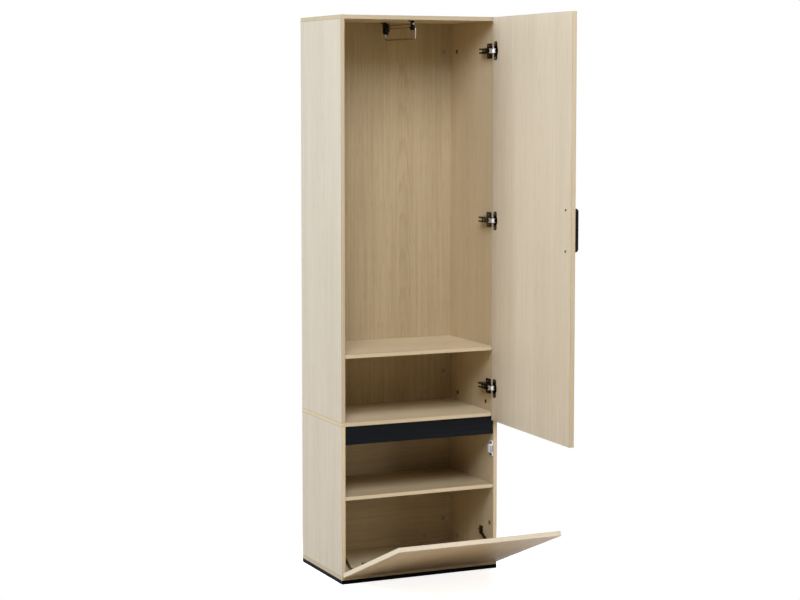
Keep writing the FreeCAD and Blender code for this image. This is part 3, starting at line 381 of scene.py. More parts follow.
    @staticmethod
    def noise(tree: bpy.types.NodeTree, lay: bpy.types.NodeSocket, width_mm: float, length_mm: float,
              detail: float) -> bpy.types.NodeSocket:
        """Noise drawn out along the grain.

        Args:
            tree: The material's tree.
            lay: Place on the board: across the grain, along it and through the board.
            width_mm: Size of its marks across the grain and through the board.
            length_mm: Size of its marks along the grain.
            detail: Octaves of the noise.

        Returns:
            The socket with the noise's value.
        """
        across, along = 1 / (width_mm * MM), 1 / (length_mm * MM)
        drawn = add_node(tree, "ShaderNodeMapping", {"Vector": lay, "Scale": (across, along, across)})
        return add_node(tree, "ShaderNodeTexNoise", {
            "Vector": drawn.outputs["Vector"], "Scale": 1.0, "Detail": detail}).outputs["Fac"]

    def flames(self, tree: bpy.types.NodeTree, lay: bpy.types.NodeSocket,
               flame: Vector) -> bpy.types.NodeSocket:
        """Long nested arches down the middle of a board, fading out to the sides.

        Args:
            tree: The material's tree.
            lay: Place on the board.
            flame: Where the figure is centred, across and along the grain, in metres.

        Returns:
            The socket with the figure's strength.
        """
        ring_step = 2 * math.pi / 20  # how far apart the wave texture draws its rings at a scale of one
        tight = ring_step / (self.flame_spacing_mm * MM)
        scale = (tight, tight / self.flame_stretch, 0.0)
        shift = (-flame.x * scale[0], -flame.y * scale[1], 0.0)
        drawn = add_node(tree, "ShaderNodeMapping", {"Vector": lay, "Scale": scale, "Location": shift})
        rings = add_node(tree, "ShaderNodeTexWave", {
            "Vector": drawn.outputs["Vector"], "Scale": 1.0, "Distortion": self.flame_wander,
            "Detail": self.flame_detail, "Detail Scale": self.flame_wander_scale},
            wave_type="RINGS", rings_direction="Z", wave_profile="SAW")
        lines = add_node(tree, "ShaderNodeMapRange", {
            "Value": rings.outputs["Fac"], "From Min": self.flame_edge, "From Max": 1.0},
            interpolation_type="SMOOTHERSTEP")
        across = add_node(tree, "ShaderNodeSeparateXYZ", {0: lay})
        off = add_node(tree, "ShaderNodeMath", {
            0: across.outputs["X"], 1: flame.x}, operation="SUBTRACT")
        away = add_node(tree, "ShaderNodeMath", {0: off.outputs["Value"]}, operation="ABSOLUTE")
        fade = add_node(tree, "ShaderNodeMapRange", {
            "Value": away.outputs["Value"], "From Min": 0.0, "From Max": self.flame_width_mm * MM,
            "To Min": 1.0, "To Max": 0.0}, interpolation_type="SMOOTHSTEP")
        return add_node(tree, "ShaderNodeMath", {
            0: lines.outputs["Result"], 1: fade.outputs["Result"]}, operation="MULTIPLY").outputs["Value"]


@dataclass(frozen=True)
class MagnetFinish:
    """The catch's magnet: a pale bar between two steel pole plates, seen from the front."""

    name: str
    bar: str
    poles: str
    bar_half_mm: float
    roughness: float = 0.4

    def material(self, middle: float) -> bpy.types.Material:
        """Build the material.

        Args:
            middle: Where the bar's middle is, from side to side.

        Returns:
            The material.
        """
        material, tree = blank_material(self.name)
        coords = add_node(tree, "ShaderNodeTexCoord")
        side = add_node(tree, "ShaderNodeSeparateXYZ", {0: coords.outputs["Object"]})
        off = add_node(tree, "ShaderNodeMath", {0: side.outputs["X"], 1: middle}, operation="SUBTRACT")
        away = add_node(tree, "ShaderNodeMath", {0: off.outputs["Value"]}, operation="ABSOLUTE")
        pole = add_node(tree, "ShaderNodeMath", {
            0: away.outputs["Value"], 1: self.bar_half_mm * MM}, operation="GREATER_THAN")
        colour = add_node(tree, "ShaderNodeMix", {
            0: pole.outputs["Value"], 6: linear(self.bar), 7: linear(self.poles)}, data_type="RGBA")
        shader = add_node(tree, "ShaderNodeBsdfPrincipled", {
            "Base Color": colour.outputs[2], "Roughness": self.roughness})
        finish_tree(tree, shader.outputs["BSDF"])
        return material


# Birch-print melamine on the left sides: satin paper under resin, pale cream with thin upright streaks and a
# lighter edge band. Every board also gets a dark line painted along each arris and joint: partly the band's
# glue seam and mostly painted shade where the eased arrises fall into shadow
BIRCH = BoardFinish("birch_melamine", "#cfc2ad", "#c6b8a2", "#b3a285", "#8a7350", 0.4)
# The same paper on both fronts, more golden than on the left sides as painted light and shade
BIRCH_FRONT = BoardFinish("birch_front_melamine", "#cfbfa5", "#c6b59b", "#b3a07f", "#8a714b", 0.4)
# The same paper on the level boards and the right sides, more golden as painted shade for the
# interior, with less of a glint
BIRCH_INNER_SHADE = BoardFinish(
    "birch_inner_shade_melamine", "#d2bf9a", "#c9b590", "#b69f74", "#8c724a", 0.4, specular=0.14)
# The same print on the thin backs and the lower shelf: a deeper birch tone, darker and more golden as
# painted shade for the backs of the cabinets
BIRCH_LINING_SHADE = BoardFinish(
    "birch_lining_shade_melamine", "#bba783", "#ae9b76", "#937a50", "#775f39", 0.4, specular=0.14)
# Black-stained melamine: nearly even, with a faint streak that only shows in raking light
BLACK_BOARD = BoardFinish(
    "black_melamine", "#0e1115", "#080a0e", "#14181e", "#060709", 0.45, specular=0.1)
# The plinth's black board, close to the floor: the same paper painted darker as shade, dull and nearly without
# a glint
BLACK_PLINTH_SHADE = BoardFinish(
    "black_plinth_shade_melamine", "#08090a", "#050607", "#0c0d0f", "#040405", 0.5, specular=0.05)
# Pressed steel with a dark nickel plating: brownish grey, half bright
DARK_NICKEL = SolidFinish("dark_nickel_steel", "#35291a", 1.0, 0.34)
# Bright nickel plating on the hinge links: light grey and fairly sharp
BRIGHT_NICKEL = SolidFinish("bright_nickel_steel", "#e2e0dc", 1.0, 0.3)
# Screws and pins with a dull nickel plating: mid grey
SCREW_NICKEL = SolidFinish("dull_nickel_steel", "#8d857a", 1.0, 0.32)
# Chromed wire: a sharp reflection that takes the colour of what is round it
CHROME = SolidFinish("chromed_wire", "#b5b1aa", 1.0, 0.15, mottle=0.02)
# Powder coat on the handle and the rail's brackets: deep black with a soft sheen
BLACK_COAT = SolidFinish("black_powder_coat", "#060607", 0.0, 0.42, specular=0.12)
# Moulded ABS of the catch: clean white, slightly glossy
WHITE_ABS = SolidFinish("white_abs", "#f6f8fa", 0.0, 0.35)
# Die-cast zinc of the cam locks: dull light grey
ZINC = SolidFinish("die_cast_zinc", "#9a9080", 1.0, 0.36)
# Stay arms of bronzed steel: dark brown, half bright
BRONZED_STEEL = SolidFinish("bronzed_steel", "#54483a", 1.0, 0.36)
# Blackened screws: dark steel with an oily sheen; on the upper cams' side faces the same dark is painted shade
# over zinc
BLACK_STEEL_AND_CAM_SHADE = SolidFinish("blackened_steel_and_cam_shade", "#1d1b19", 0.9, 0.4)
# Foam tape behind the mirror: off-white and matt
FOAM_TAPE = SolidFinish("foam_tape", "#d9d8d2", 0.0, 0.8)
# Beech dowels: plain warm wood, hidden when the cabinets are stacked
BEECH = SolidFinish("beech_dowel", "#c9a878", 0.0, 0.6)
# Silvered float glass on the door's outer face
SILVER_GLASS = MirrorFinish("silvered_glass", "#d7dedf", "#8fb3a6", Way.DOOR_OUT)
# Ferrite bar between two steel pole plates: blue-grey steel with a paler bar in the middle
POLE_MAGNET = MagnetFinish("ferrite_magnet", "#e8eef8", "#2c3654", 1.3)


def dress(nodes: Iterable[str], material: bpy.types.Material) -> None:
    """Give CAD nodes a material.

    Args:
        nodes: Names of the nodes.
        material: The material that they get.
    """
    for name in nodes:
        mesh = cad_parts[name].data
        mesh.materials.clear()
        mesh.materials.append(material)
        log.info("%s: %s", name, material.name)


def spans(node: str, ways: Sequence[Vector]) -> list[tuple[float, float]]:
    """How far a CAD node reaches along some directions.

    Args:
        node: The node's name.
        ways: Unit directions in the row frame.

    Returns:
        The lowest and highest place along each direction.
    """
    points = [vertex.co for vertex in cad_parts[node].data.vertices]
    return [(min(p.dot(way) for p in points), max(p.dot(way) for p in points)) for way in ways]


@dataclass
class Board:
    """One printed board: which way its grain and its faces run, and where its flame figure sits."""

    node: str
    grain: Way
    face: Way
    flame: tuple[float, float, float] = (0.0, 0.0, 0.0)
    finish: BoardFinish = BIRCH
    band: Band = Band.PALE

    def dress(self) -> None:
        """Lay the print on the board."""
        ways = (self.grain.vector.cross(self.face.vector), self.grain.vector, self.face.vector)
        ends = spans(self.node, ways)
        halves = Vector([(high - low) / 2 for low, high in ends])
        centre = sum((way * (low + high) / 2 for way, (low, high) in zip(ways, ends)), Vector())
        dress([self.node], self.finish.material(
            self.node, self.band, self.grain, self.face, centre, halves, Vector(self.flame)))


@dataclass
class Carcass:
    """Both cabinets with their shelves, the grip rail and the plinth."""

    boards: list[Board] = field(default_factory=lambda: [
        # Bands and finishes here carry painted light and shade: darker bands on edges the lamps light more,
        # golden shaded copies of the print inside
        Board("top_panel", Way.RIGHT, Way.UP, (0.05, 0.1, 0.6), BIRCH_INNER_SHADE, Band.BROWN),
        Board("upper_left_side", Way.UP, Way.RIGHT, (-0.02, -0.4, 0.5), band=Band.BROWN),
        Board("upper_right_side", Way.UP, Way.RIGHT, (0.03, -0.7, 0.5), BIRCH_INNER_SHADE),
        Board("upper_bottom_panel", Way.RIGHT, Way.UP, (-0.04, 0.2, 0.5), BIRCH_INNER_SHADE, Band.DULL),
        Board("upper_back_panel", Way.UP, Way.BACK, (-0.085, -0.75, 0.5), BIRCH_LINING_SHADE),
        Board("upper_shelf", Way.RIGHT, Way.UP, (0.02, -0.25, 0.5), BIRCH_INNER_SHADE, Band.DULL),
        Board("lower_left_side", Way.UP, Way.RIGHT, (0.04, 0.3, 0.5)),
        Board("lower_right_side", Way.UP, Way.RIGHT, (-0.05, 0.2, 0.5), BIRCH_INNER_SHADE),
        Board("lower_bottom_panel", Way.RIGHT, Way.UP, (0.03, -0.1, 0.5), BIRCH_INNER_SHADE, Band.BROWN),
        Board("lower_back_panel", Way.RIGHT, Way.BACK, (-0.05, -0.35, 0.9), BIRCH_LINING_SHADE),
        Board("lower_shelf", Way.RIGHT, Way.UP, (-0.03, 0.3, 0.5), BIRCH_LINING_SHADE),
        Board("grip_rail", Way.RIGHT, Way.BACK, finish=BLACK_BOARD, band=Band.BLACK),
        Board("plinth_front_rail", Way.RIGHT, Way.BACK, finish=BLACK_PLINTH_SHADE, band=Band.BLACK),
        Board("plinth_back_rail", Way.RIGHT, Way.BACK, finish=BLACK_PLINTH_SHADE, band=Band.BLACK),
        Board("plinth_cross_rails", Way.BACK, Way.RIGHT, finish=BLACK_PLINTH_SHADE, band=Band.BLACK),
    ])

    def dress(self) -> None:
        """Lay the print on every board and finish the fittings between them."""
        for board in self.boards:
            board.dress()
        dress(["upper_cam_locks", "lower_cam_locks"], ZINC.material())
        dress(["upper_shelf_pins", "lower_shelf_pins"], SCREW_NICKEL.material())
        dress(["stacking_dowels"], BEECH.material())


@dataclass
class BowHandle:
    """The bow handle: a flat bar bent round at both ends, with softened arrises."""

    node: str = "handle"
    bar: float = 8 * MM
    bend: float = 10 * MM
    bend_steps: int = 8
    arris: float = 1.2 * MM
    arris_steps: int = 3
    arris_angle: float = math.radians(45)

    def build(self) -> bpy.types.Object:
        """Make the bow in place of the plain one.

        Returns:
            The finished object.
        """
        out, up = Way.DOOR_OUT.vector, Way.UP.vector
        across = out.cross(up)
        (left, right), (foot, top), (low, high) = spans(self.node, (across, out, up))
        outline = self.outline(foot, top, low, high)
        form = bmesh.new()
        rims = [[form.verts.new(across * side + out * o + up * z) for o, z in outline]
                for side in (left, right)]
        form.faces.new(rims[0])
        form.faces.new(reversed(rims[1]))
        for i, start in enumerate(rims[0]):
            j = (i + 1) % len(outline)
            form.faces.new((start, rims[1][i], rims[1][j], rims[0][j]))
        bmesh.ops.recalc_face_normals(form, faces=form.faces)
        mesh = bpy.data.meshes.new("bow_handle")
        form.to_mesh(mesh)
        form.free()
        piece = bpy.data.objects.new("bow_handle", mesh)
        bpy.context.scene.collection.objects.link(piece)
        rounding = piece.modifiers.new("arrises", "BEVEL")
        rounding.width = self.arris
        rounding.segments = self.arris_steps
        rounding.limit_method = "ANGLE"
        rounding.angle_limit = self.arris_angle
        mesh.materials.append(BLACK_COAT.material())
        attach(piece, "door")
        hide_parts(self.node)
        log.info("bow_handle: %d points round its side", len(outline))
        return piece

    def outline(self, foot: float, top: float, low: float, high: float) -> list[tuple[float, float]]:
        """Side of the bow: from the lower foot round the outside and back along the inside.

        Args:
            foot: Where the feet stand, along the way out of the door.
            top: Where the grip's outer side is, along that way.
            low: Lower end.
            high: Upper end.

        Returns:
            Points out of the door and up it.
        """
        outer = self.bends(top, low, high, self.bend)
        inner = self.bends(top - self.bar, low + self.bar, high - self.bar, self.bend - self.bar)
        return [(foot, low), *outer, (foot, high),
                (foot, high - self.bar), *reversed(inner), (foot, low + self.bar)]

    def bends(self, top: float, low: float, high: float, radius: float) -> list[tuple[float, float]]:
        """The two bends of one side of the bar.

        Args:
            top: Where this side is, out of the door.
            low: Where this side of the lower leg is.
            high: Where this side of the upper leg is.
            radius: Radius of the bends.

        Returns:
            Points round the lower bend and then round the upper one.
        """
        turns = [math.pi / 2 * i / self.bend_steps for i in range(self.bend_steps + 1)]
        first = [(top - radius + radius * math.sin(t), low + radius - radius * math.cos(t)) for t in turns]
        return first + [(o, low + high - z) for o, z in reversed(first)]


@dataclass
class DoorLeaf:
    """The mirror door: its board, the glass on its tape, and the bow handle with rounded edges."""

    # the door's darker band is painted shade, set to how the lamps light its edge
    board: Board = field(default_factory=lambda: Board(
        "door_panel", Way.UP, Way.DOOR_OUT, (-0.06, -0.8, 0.35), BIRCH_FRONT, Band.TAN))
    handle: BowHandle = field(default_factory=BowHandle)

    def dress(self) -> None:
        """Finish the door's pieces."""
        self.board.dress()
        dress(["mirror_glass"], SILVER_GLASS.material())
        dress(["mirror_tape"], FOAM_TAPE.material())
        dress(["handle_screws"], SCREW_NICKEL.material())
        self.handle.build()


@dataclass
class FlapLeaf:
    """The drop flap with its strike plate and its two slotted stays."""

    # the flap's brighter band is painted light, set to how the lamps light its edge
    board: Board = field(default_factory=lambda: Board(
        "flap_panel", Way.FLAP_LENGTH, Way.FLAP_OUT, (0.05, 0.0, 0.8), BIRCH_FRONT, Band.BRIGHT))

    def dress(self) -> None:
        """Finish the flap's pieces and the stays."""
        self.board.dress()
        dress(["strike_plate", "strike_screw", "stay_flap_pins", "stay_side_pins"], SCREW_NICKEL.material())
        dress(["stay_arms", "stay_flap_brackets", "stay_side_plates"], BRONZED_STEEL.material())


@dataclass
class CupHinges:
    """Concealed hinges of the door and of the flap: dark pressed pieces, bright links, dull pins and screws."""

    fronts: tuple[str, ...] = ("door", "flap")
    dark: tuple[str, ...] = ("plates", "arms", "cups")
    bright: tuple[str, ...] = ("links",)
    dull: tuple[str, ...] = ("arm_pins", "cup_pins", "plate_screws", "arm_screws", "cup_screws")

    def dress(self) -> None:
        """Finish every hinge piece."""
        looks = ((self.dark, DARK_NICKEL), (self.bright, BRIGHT_NICKEL), (self.dull, SCREW_NICKEL))
        for kinds, finish in looks:
            dress([f"{front}_hinge_{kind}" for front in self.fronts for kind in kinds], finish.material())


@dataclass
class HangerRail:
    """The pull-out rail: black brackets and slide block, chromed rod and loop."""

    black: tuple[str, ...] = ("rail_back_bracket", "rail_front_bracket", "rail_slide_block")
    chromed: tuple[str, ...] = ("rail_guide_rod", "hanger_wire")

    def dress(self) -> None:
        """Finish the rail's pieces."""
        dress(self.black, BLACK_COAT.material())
        dress(self.chromed, CHROME.material())
        dress(["rail_screws"], SCREW_NICKEL.material())


@dataclass
class Catch:
    """The magnetic catch on the lower right side."""

    def dress(self) -> None:
        """Finish the catch's pieces."""
        dress(["catch_body"], WHITE_ABS.material())
        low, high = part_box("catch_magnet")
        dress(["catch_magnet"], POLE_MAGNET.material((low.x + high.x) / 2))
        dress(["catch_screws"], BLACK_STEEL_AND_CAM_SHADE.material())


@dataclass
class HeadGroup:
    """Screw heads or cam faces of one CAD node that all look the same way.

    Where the node has heads on several sides, the level says how far along that way their faces lie.
    """

    node: str
    outward: Way
    level: float | None = None
    flatness: float = 0.05 * MM
    widest: float = 16 * MM

    def places(self) -> list[Vector]:
        """Find the middle of each head's outer face on the node's own mesh.

        Returns:
            One point for each head.
        """
        axis = self.outward.vector
        points = [v.co.copy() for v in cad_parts[self.node].data.vertices]
        top = max(p.dot(axis) for p in points) if self.level is None else self.level
        clusters: list[list[Vector]] = []
        for point in points:
            if abs(point.dot(axis) - top) > self.flatness:
                continue
            near = next((c for c in clusters if (c[0] - point).length < self.widest), None)
            if near is None:
                clusters.append([point])
            else:
                near.append(point)
        return [self.middle(cluster) for cluster in clusters]

    @staticmethod
    def middle(cluster: list[Vector]) -> Vector:
        """Middle of the box around some points."""
        return Vector([(min(p[i] for p in cluster) + max(p[i] for p in cluster)) / 2 for i in range(3)])


@dataclass
class CrossHeads:
    """Caps with a cross recess that stand on round heads, instanced by a node tree.

    The tree makes one cap from its named sizes, puts it on every point along that point's own axis, and
    gives it its material.
    """

    name: str
    body: str
    groups: list[HeadGroup]
    finish: SolidFinish
    slot: str
    radius: float
    height: float
    recess_length: float
    recess_width: float
    sides: int = 20
    overcut: float = 3.0

    def build(self) -> bpy.types.Object:
        """Make the caps as one plain mesh that rides on the body.

        Returns:
            The finished object.
        """
        spots = [(place, group.outward.vector) for group in self.groups for place in group.places()]
        mesh = bpy.data.meshes.new(self.name)
        mesh.from_pydata([place for place, _ in spots], [], [])
        axes = mesh.attributes.new("axis", "FLOAT_VECTOR", "POINT")
        axes.data.foreach_set("vector", [value for _, axis in spots for value in axis])
        piece = bpy.data.objects.new(self.name, mesh)
        bpy.context.scene.collection.objects.link(piece)
        tree = self.tree()
        modifier = piece.modifiers.new("caps", "NODES")
        modifier.node_group = tree
        sizes = {"Radius": self.radius, "Height": self.height, "Recess length": self.recess_length,
                 "Recess width": self.recess_width}
        for item in tree.interface.items_tree:
            if item.item_type == "SOCKET" and item.in_out == "INPUT" and item.name in sizes:
                modifier[item.identifier] = sizes[item.name]
        seen = piece.evaluated_get(bpy.context.evaluated_depsgraph_get())
        plain = bpy.data.meshes.new_from_object(seen)
        piece.modifiers.clear()
        piece.data = plain
        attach(piece, self.body)
        log.info("%s: %d caps", self.name, len(spots))
        return piece

    def tree(self) -> bpy.types.NodeTree:
        """Build the node tree that makes and places the caps.

        Returns:
            The tree.
        """
        tree = bpy.data.node_groups.new(f"{self.name}_tree", "GeometryNodeTree")
        tree.interface.new_socket("Points", in_out="INPUT", socket_type="NodeSocketGeometry")
        for size in ("Radius", "Height", "Recess length", "Recess width"):
            tree.interface.new_socket(size, in_out="INPUT", socket_type="NodeSocketFloat")
        tree.interface.new_socket("Caps", in_out="OUTPUT", socket_type="NodeSocketGeometry")
        given = add_node(tree, "NodeGroupInput").outputs
        cap = add_node(tree, "GeometryNodeMeshCylinder", {
            "Vertices": self.sides, "Radius": given["Radius"], "Depth": given["Height"]})
        through = add_node(tree, "ShaderNodeMath", {
            0: given["Height"], 1: self.overcut}, operation="MULTIPLY")
        bars = []
        for long_axis in (0, 1):
            parts = {0: given["Recess width"], 1: given["Recess width"], 2: through.outputs["Value"]}
            parts[long_axis] = given["Recess length"]
            size = add_node(tree, "ShaderNodeCombineXYZ", parts)
            bars.append(add_node(tree, "GeometryNodeMeshCube", {"Size": size.outputs["Vector"]}))
        cut = cap.outputs["Mesh"]
        for bar in bars:
            boolean = add_node(tree, "GeometryNodeMeshBoolean", operation="DIFFERENCE", solver="EXACT")
            tree.links.new(cut, boolean.inputs["Mesh 1"])
            tree.links.new(bar.outputs["Mesh"], boolean.inputs["Mesh 2"])
            cut = boolean.outputs["Mesh"]
        half = add_node(tree, "ShaderNodeMath", {0: given["Height"], 1: 0.5}, operation="MULTIPLY")
        lift = add_node(tree, "ShaderNodeCombineXYZ", {2: half.outputs["Value"]})
        seated = add_node(tree, "GeometryNodeTransform", {
            "Geometry": cut, "Translation": lift.outputs["Vector"]})
        axis = add_node(tree, "GeometryNodeInputNamedAttribute", {"Name": "axis"}, data_type="FLOAT_VECTOR")
        turn = add_node(tree, "FunctionNodeAlignRotationToVector", {
            "Vector": axis.outputs["Attribute"]}, axis="Z")
        placed = add_node(tree, "GeometryNodeInstanceOnPoints", {
            "Points": given["Points"], "Instance": seated.outputs["Geometry"],
            "Rotation": turn.outputs["Rotation"]})
        real = add_node(tree, "GeometryNodeRealizeInstances", {"Geometry": placed.outputs["Instances"]})
        done = add_node(tree, "GeometryNodeSetMaterial", {
            "Geometry": real.outputs["Geometry"], "Material": self.finish.material()})
        add_node(tree, "NodeGroupOutput", {"Caps": done.outputs["Geometry"]})
        return tree


def fasteners() -> list[CrossHeads]:
    """The sets of cross-recessed heads, one for each body, and the cam locks' faces; the upper cams in the side
    boards get dark faces as painted shade.

    Returns:
        The sets, not yet built.
    """
    screw = dict(finish=SCREW_NICKEL, slot="nickel_steel", radius=3.3 * MM, height=0.6 * MM,
                 recess_length=3.8 * MM, recess_width=0.9 * MM)
    cam = dict(finish=ZINC, slot="cam_metal", radius=6.6 * MM, height=0.4 * MM,
               recess_length=8.0 * MM, recess_width=1.8 * MM)
    inner_side, inner_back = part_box("upper_right_side")[0].x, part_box("upper_back_panel")[0].y
    cam_nodes = ("upper_cam_locks", "lower_cam_locks")
    return [
        CrossHeads("carcass_screw_heads", "carcass", [
            HeadGroup("door_hinge_plate_screws", Way.LEFT), HeadGroup("door_hinge_arm_screws", Way.LEFT),
            HeadGroup("flap_hinge_plate_screws", Way.UP), HeadGroup("flap_hinge_arm_screws", Way.UP),
            HeadGroup("rail_screws", Way.DOWN)], **screw),
        CrossHeads("catch_screw_heads", "carcass", [HeadGroup("catch_screws", Way.LEFT)],
                   **{**screw, "finish": BLACK_STEEL_AND_CAM_SHADE}),
        CrossHeads("back_cam_faces", "carcass", [
            HeadGroup(node, Way.FRONT, -inner_back) for node in cam_nodes] + [
            HeadGroup("lower_cam_locks", way, -inner_side) for way in (Way.RIGHT, Way.LEFT)], **cam),
        # The upper cams in the side boards get a dark face: painted shade over zinc
        CrossHeads("shaded_side_cam_faces", "carcass", [
            HeadGroup("upper_cam_locks", way, -inner_side) for way in (Way.RIGHT, Way.LEFT)],
            **{**cam, "finish": BLACK_STEEL_AND_CAM_SHADE}),
        CrossHeads("door_screw_heads", "door", [
            HeadGroup("door_hinge_cup_screws", Way.DOOR_IN),
            HeadGroup("handle_screws", Way.DOOR_IN)], **screw),
        CrossHeads("flap_screw_heads", "flap", [HeadGroup("flap_hinge_cup_screws", Way.FLAP_IN)], **screw),
    ]


@dataclass(frozen=True)
class Lamp:
    """A square soft light that looks at a point: sizes in metres, power in watts and a tint in linear light."""

    name: str
    place: tuple[float, float, float]
    target: tuple[float, float, float]
    size: float
    power: float
    tint: tuple[float, float, float]

    def add(self) -> None:
        """Put the lamp in the scene."""
        data = bpy.data.lights.new(self.name, "AREA")
        data.size = self.size
        data.energy = self.power
        data.color = self.tint
        lamp = bpy.data.objects.new(self.name, data)
        lamp.location = self.place
        gaze = Vector(self.target) - Vector(self.place)
        lamp.rotation_euler = gaze.to_track_quat("-Z", "Y").to_euler()
        bpy.context.scene.collection.objects.link(lamp)


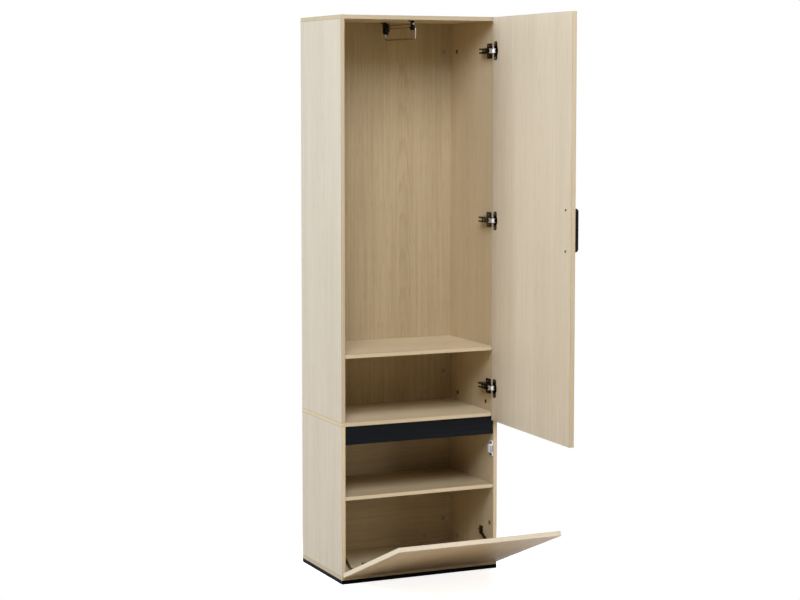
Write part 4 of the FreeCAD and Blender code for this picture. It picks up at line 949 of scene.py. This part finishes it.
@dataclass
class Studio:
    """Camera, soft light and a white floor."""

    camera_place: tuple[float, float, float] = (-2.7081, -6.0196, 1.6074)
    yaw: float = math.radians(24.2525)
    pitch: float = math.radians(-4.9046)
    focal_pixels: float = 1971.6
    shift_y: float = -0.05
    sensor_mm: float = 36.0
    sight: float = 200.0
    room_light: float = 0.03
    floor_size: float = 60.0
    floor_bounce: tuple[float, float, float] = (0.72, 0.578, 0.39)
    floor_shown: tuple[float, float, float] = (0.8, 0.8, 0.8)
    floor_lift: float = 0.85
    shadow_reach: float = 0.4
    lamps: tuple[Lamp, ...] = (
        Lamp("high_front_light", (-1.25, -2.9, 3.9), (0.0, -0.1, 0.9), 2.2, 176.0, (0.765, 0.82, 1.0)),
        Lamp("front_light", (-1.8, -3.4, 3.4), (0.0, -0.1, 0.9), 2.2, 30.0, (1.0, 0.97, 0.94)),
        Lamp("left_light", (-4.3, 0.5, 2.8), (0.0, -0.2, 0.95), 2.0, 158.0, (0.76, 0.88, 1.0)),
        Lamp("right_light", (2.7, -3.3, 1.0), (0.0, 0.0, 0.4), 1.2, 21.0, (1.0, 0.97, 0.92)),
        Lamp("back_light", (3.4, 2.8, 2.6), (0.0, 0.0, 0.95), 2.2, 200.0, (0.8, 0.89, 1.0)),
    )

    def build(self) -> None:
        """Set up everything round the object."""
        self.set_camera()
        self.set_world()
        self.set_floor()
        for lamp in self.lamps:
            lamp.add()
        bpy.context.scene.view_settings.view_transform = "Standard"

    def set_camera(self) -> None:
        """Put the camera where the photograph was taken from."""
        data = bpy.data.cameras.new("camera")
        data.sensor_width = self.sensor_mm
        data.lens = self.focal_pixels * data.sensor_width / IMAGE_WIDTH
        data.shift_y = self.shift_y
        data.clip_end = self.sight
        camera = bpy.data.objects.new("camera", data)
        camera.location = self.camera_place
        camera.rotation_euler = (math.pi / 2 + self.pitch, 0.0, -self.yaw)
        bpy.context.scene.collection.objects.link(camera)
        bpy.context.scene.camera = camera

    def set_world(self) -> None:
        """Even room light that shows white to the camera and to shiny surfaces."""
        world = bpy.data.worlds.new("studio")
        bpy.context.scene.world = world
        world.use_nodes = True
        tree = world.node_tree
        tree.nodes.clear()
        light = add_node(tree, "ShaderNodeBackground", {"Color": WHITE, "Strength": self.room_light})
        white = add_node(tree, "ShaderNodeBackground", {"Color": WHITE, "Strength": 1.0})
        both = add_node(tree, "ShaderNodeMixShader", {
            0: self.seen_rays(tree), 1: light.outputs["Background"], 2: white.outputs["Background"]})
        add_node(tree, "ShaderNodeOutputWorld", {"Surface": both.outputs["Shader"]})

    @staticmethod
    def seen_rays(tree: bpy.types.NodeTree) -> bpy.types.NodeSocket:
        """One for rays that show the surroundings: to the camera, in a reflection or through glass.

        Args:
            tree: The tree of the world or of the floor's material.

        Returns:
            The socket that is one for those rays and nought for others.
        """
        rays = add_node(tree, "ShaderNodeLightPath")
        direct = add_node(tree, "ShaderNodeMath", {
            0: rays.outputs["Is Camera Ray"], 1: rays.outputs["Is Glossy Ray"]}, operation="MAXIMUM")
        seen = add_node(tree, "ShaderNodeMath", {
            0: direct.outputs["Value"], 1: rays.outputs["Is Transmission Ray"]}, operation="MAXIMUM")
        return seen.outputs["Value"]

    def set_floor(self) -> None:
        """A wide pale floor that melts into the white background and keeps the object's shadow."""
        half = self.floor_size / 2
        mesh = bpy.data.meshes.new("floor")
        corners = [(-half, -half, 0), (half, -half, 0), (half, half, 0), (-half, half, 0)]
        mesh.from_pydata(corners, [], [(0, 1, 2, 3)])
        floor = bpy.data.objects.new("floor", mesh)
        bpy.context.scene.collection.objects.link(floor)
        mesh.materials.append(self.floor_material())

    def floor_material(self) -> bpy.types.Material:
        """Build the floor's material: white far from the object, and a dull tint in the light it throws back.

        Returns:
            The material.
        """
        material, tree = blank_material("white_floor")
        far = add_node(tree, "ShaderNodeMapRange", {
            "Value": self.clearance(tree), "From Min": 0.0, "From Max": self.shadow_reach},
            interpolation_type="SMOOTHSTEP")
        dull = add_node(tree, "ShaderNodeBsdfDiffuse", {"Color": (*self.floor_bounce, 1.0)})
        pale = add_node(tree, "ShaderNodeBsdfDiffuse", {"Color": (*self.floor_shown, 1.0)})
        rays = add_node(tree, "ShaderNodeLightPath")
        glow = add_node(tree, "ShaderNodeMath", {
            0: rays.outputs["Is Camera Ray"], 1: self.floor_lift}, operation="MULTIPLY")
        lift = add_node(tree, "ShaderNodeEmission", {"Color": WHITE, "Strength": glow.outputs["Value"]})
        near = add_node(tree, "ShaderNodeAddShader", {0: pale.outputs["BSDF"], 1: lift.outputs["Emission"]})
        white = add_node(tree, "ShaderNodeEmission", {"Color": WHITE, "Strength": 1.0})
        shown = add_node(tree, "ShaderNodeMixShader", {
            0: far.outputs["Result"], 1: near.outputs["Shader"], 2: white.outputs["Emission"]})
        both = add_node(tree, "ShaderNodeMixShader", {
            0: self.seen_rays(tree), 1: dull.outputs["BSDF"], 2: shown.outputs["Shader"]})
        finish_tree(tree, both.outputs["Shader"])
        return material

    @staticmethod
    def clearance(tree: bpy.types.NodeTree) -> bpy.types.NodeSocket:
        """How far a place on the floor is from the object's box, seen from above.

        Args:
            tree: The tree of the floor's material.

        Returns:
            The socket with the distance, in metres.
        """
        low, high = CAD_BOUNDS
        middle = ((low[0] + high[0]) / 2, (low[1] + high[1]) / 2, 0.0)
        halves = ((high[0] - low[0]) / 2, (high[1] - low[1]) / 2, 0.0)
        coords = add_node(tree, "ShaderNodeTexCoord")
        level = add_node(tree, "ShaderNodeVectorMath", {
            0: coords.outputs["Object"], 1: (1.0, 1.0, 0.0)}, operation="MULTIPLY")
        place = add_node(tree, "ShaderNodeVectorMath", {
            0: level.outputs["Vector"], 1: middle}, operation="SUBTRACT")
        side = add_node(tree, "ShaderNodeVectorMath", {0: place.outputs["Vector"]}, operation="ABSOLUTE")
        outside = add_node(tree, "ShaderNodeVectorMath", {
            0: side.outputs["Vector"], 1: halves}, operation="SUBTRACT")
        clear = add_node(tree, "ShaderNodeVectorMath", {
            0: outside.outputs["Vector"], 1: (0.0, 0.0, 0.0)}, operation="MAXIMUM")
        away = add_node(tree, "ShaderNodeVectorMath", {0: clear.outputs["Vector"]}, operation="LENGTH")
        return away.outputs["Value"]


def main() -> None:
    """Build and dress the wardrobe, then the studio round it."""
    logging.basicConfig(level=logging.INFO)
    for assembly in (Carcass(), DoorLeaf(), FlapLeaf(), CupHinges(), HangerRail(), Catch()):
        assembly.dress()
    for heads in fasteners():
        heads.build()
    Studio().build()


if __name__ == "__main__":
    main()
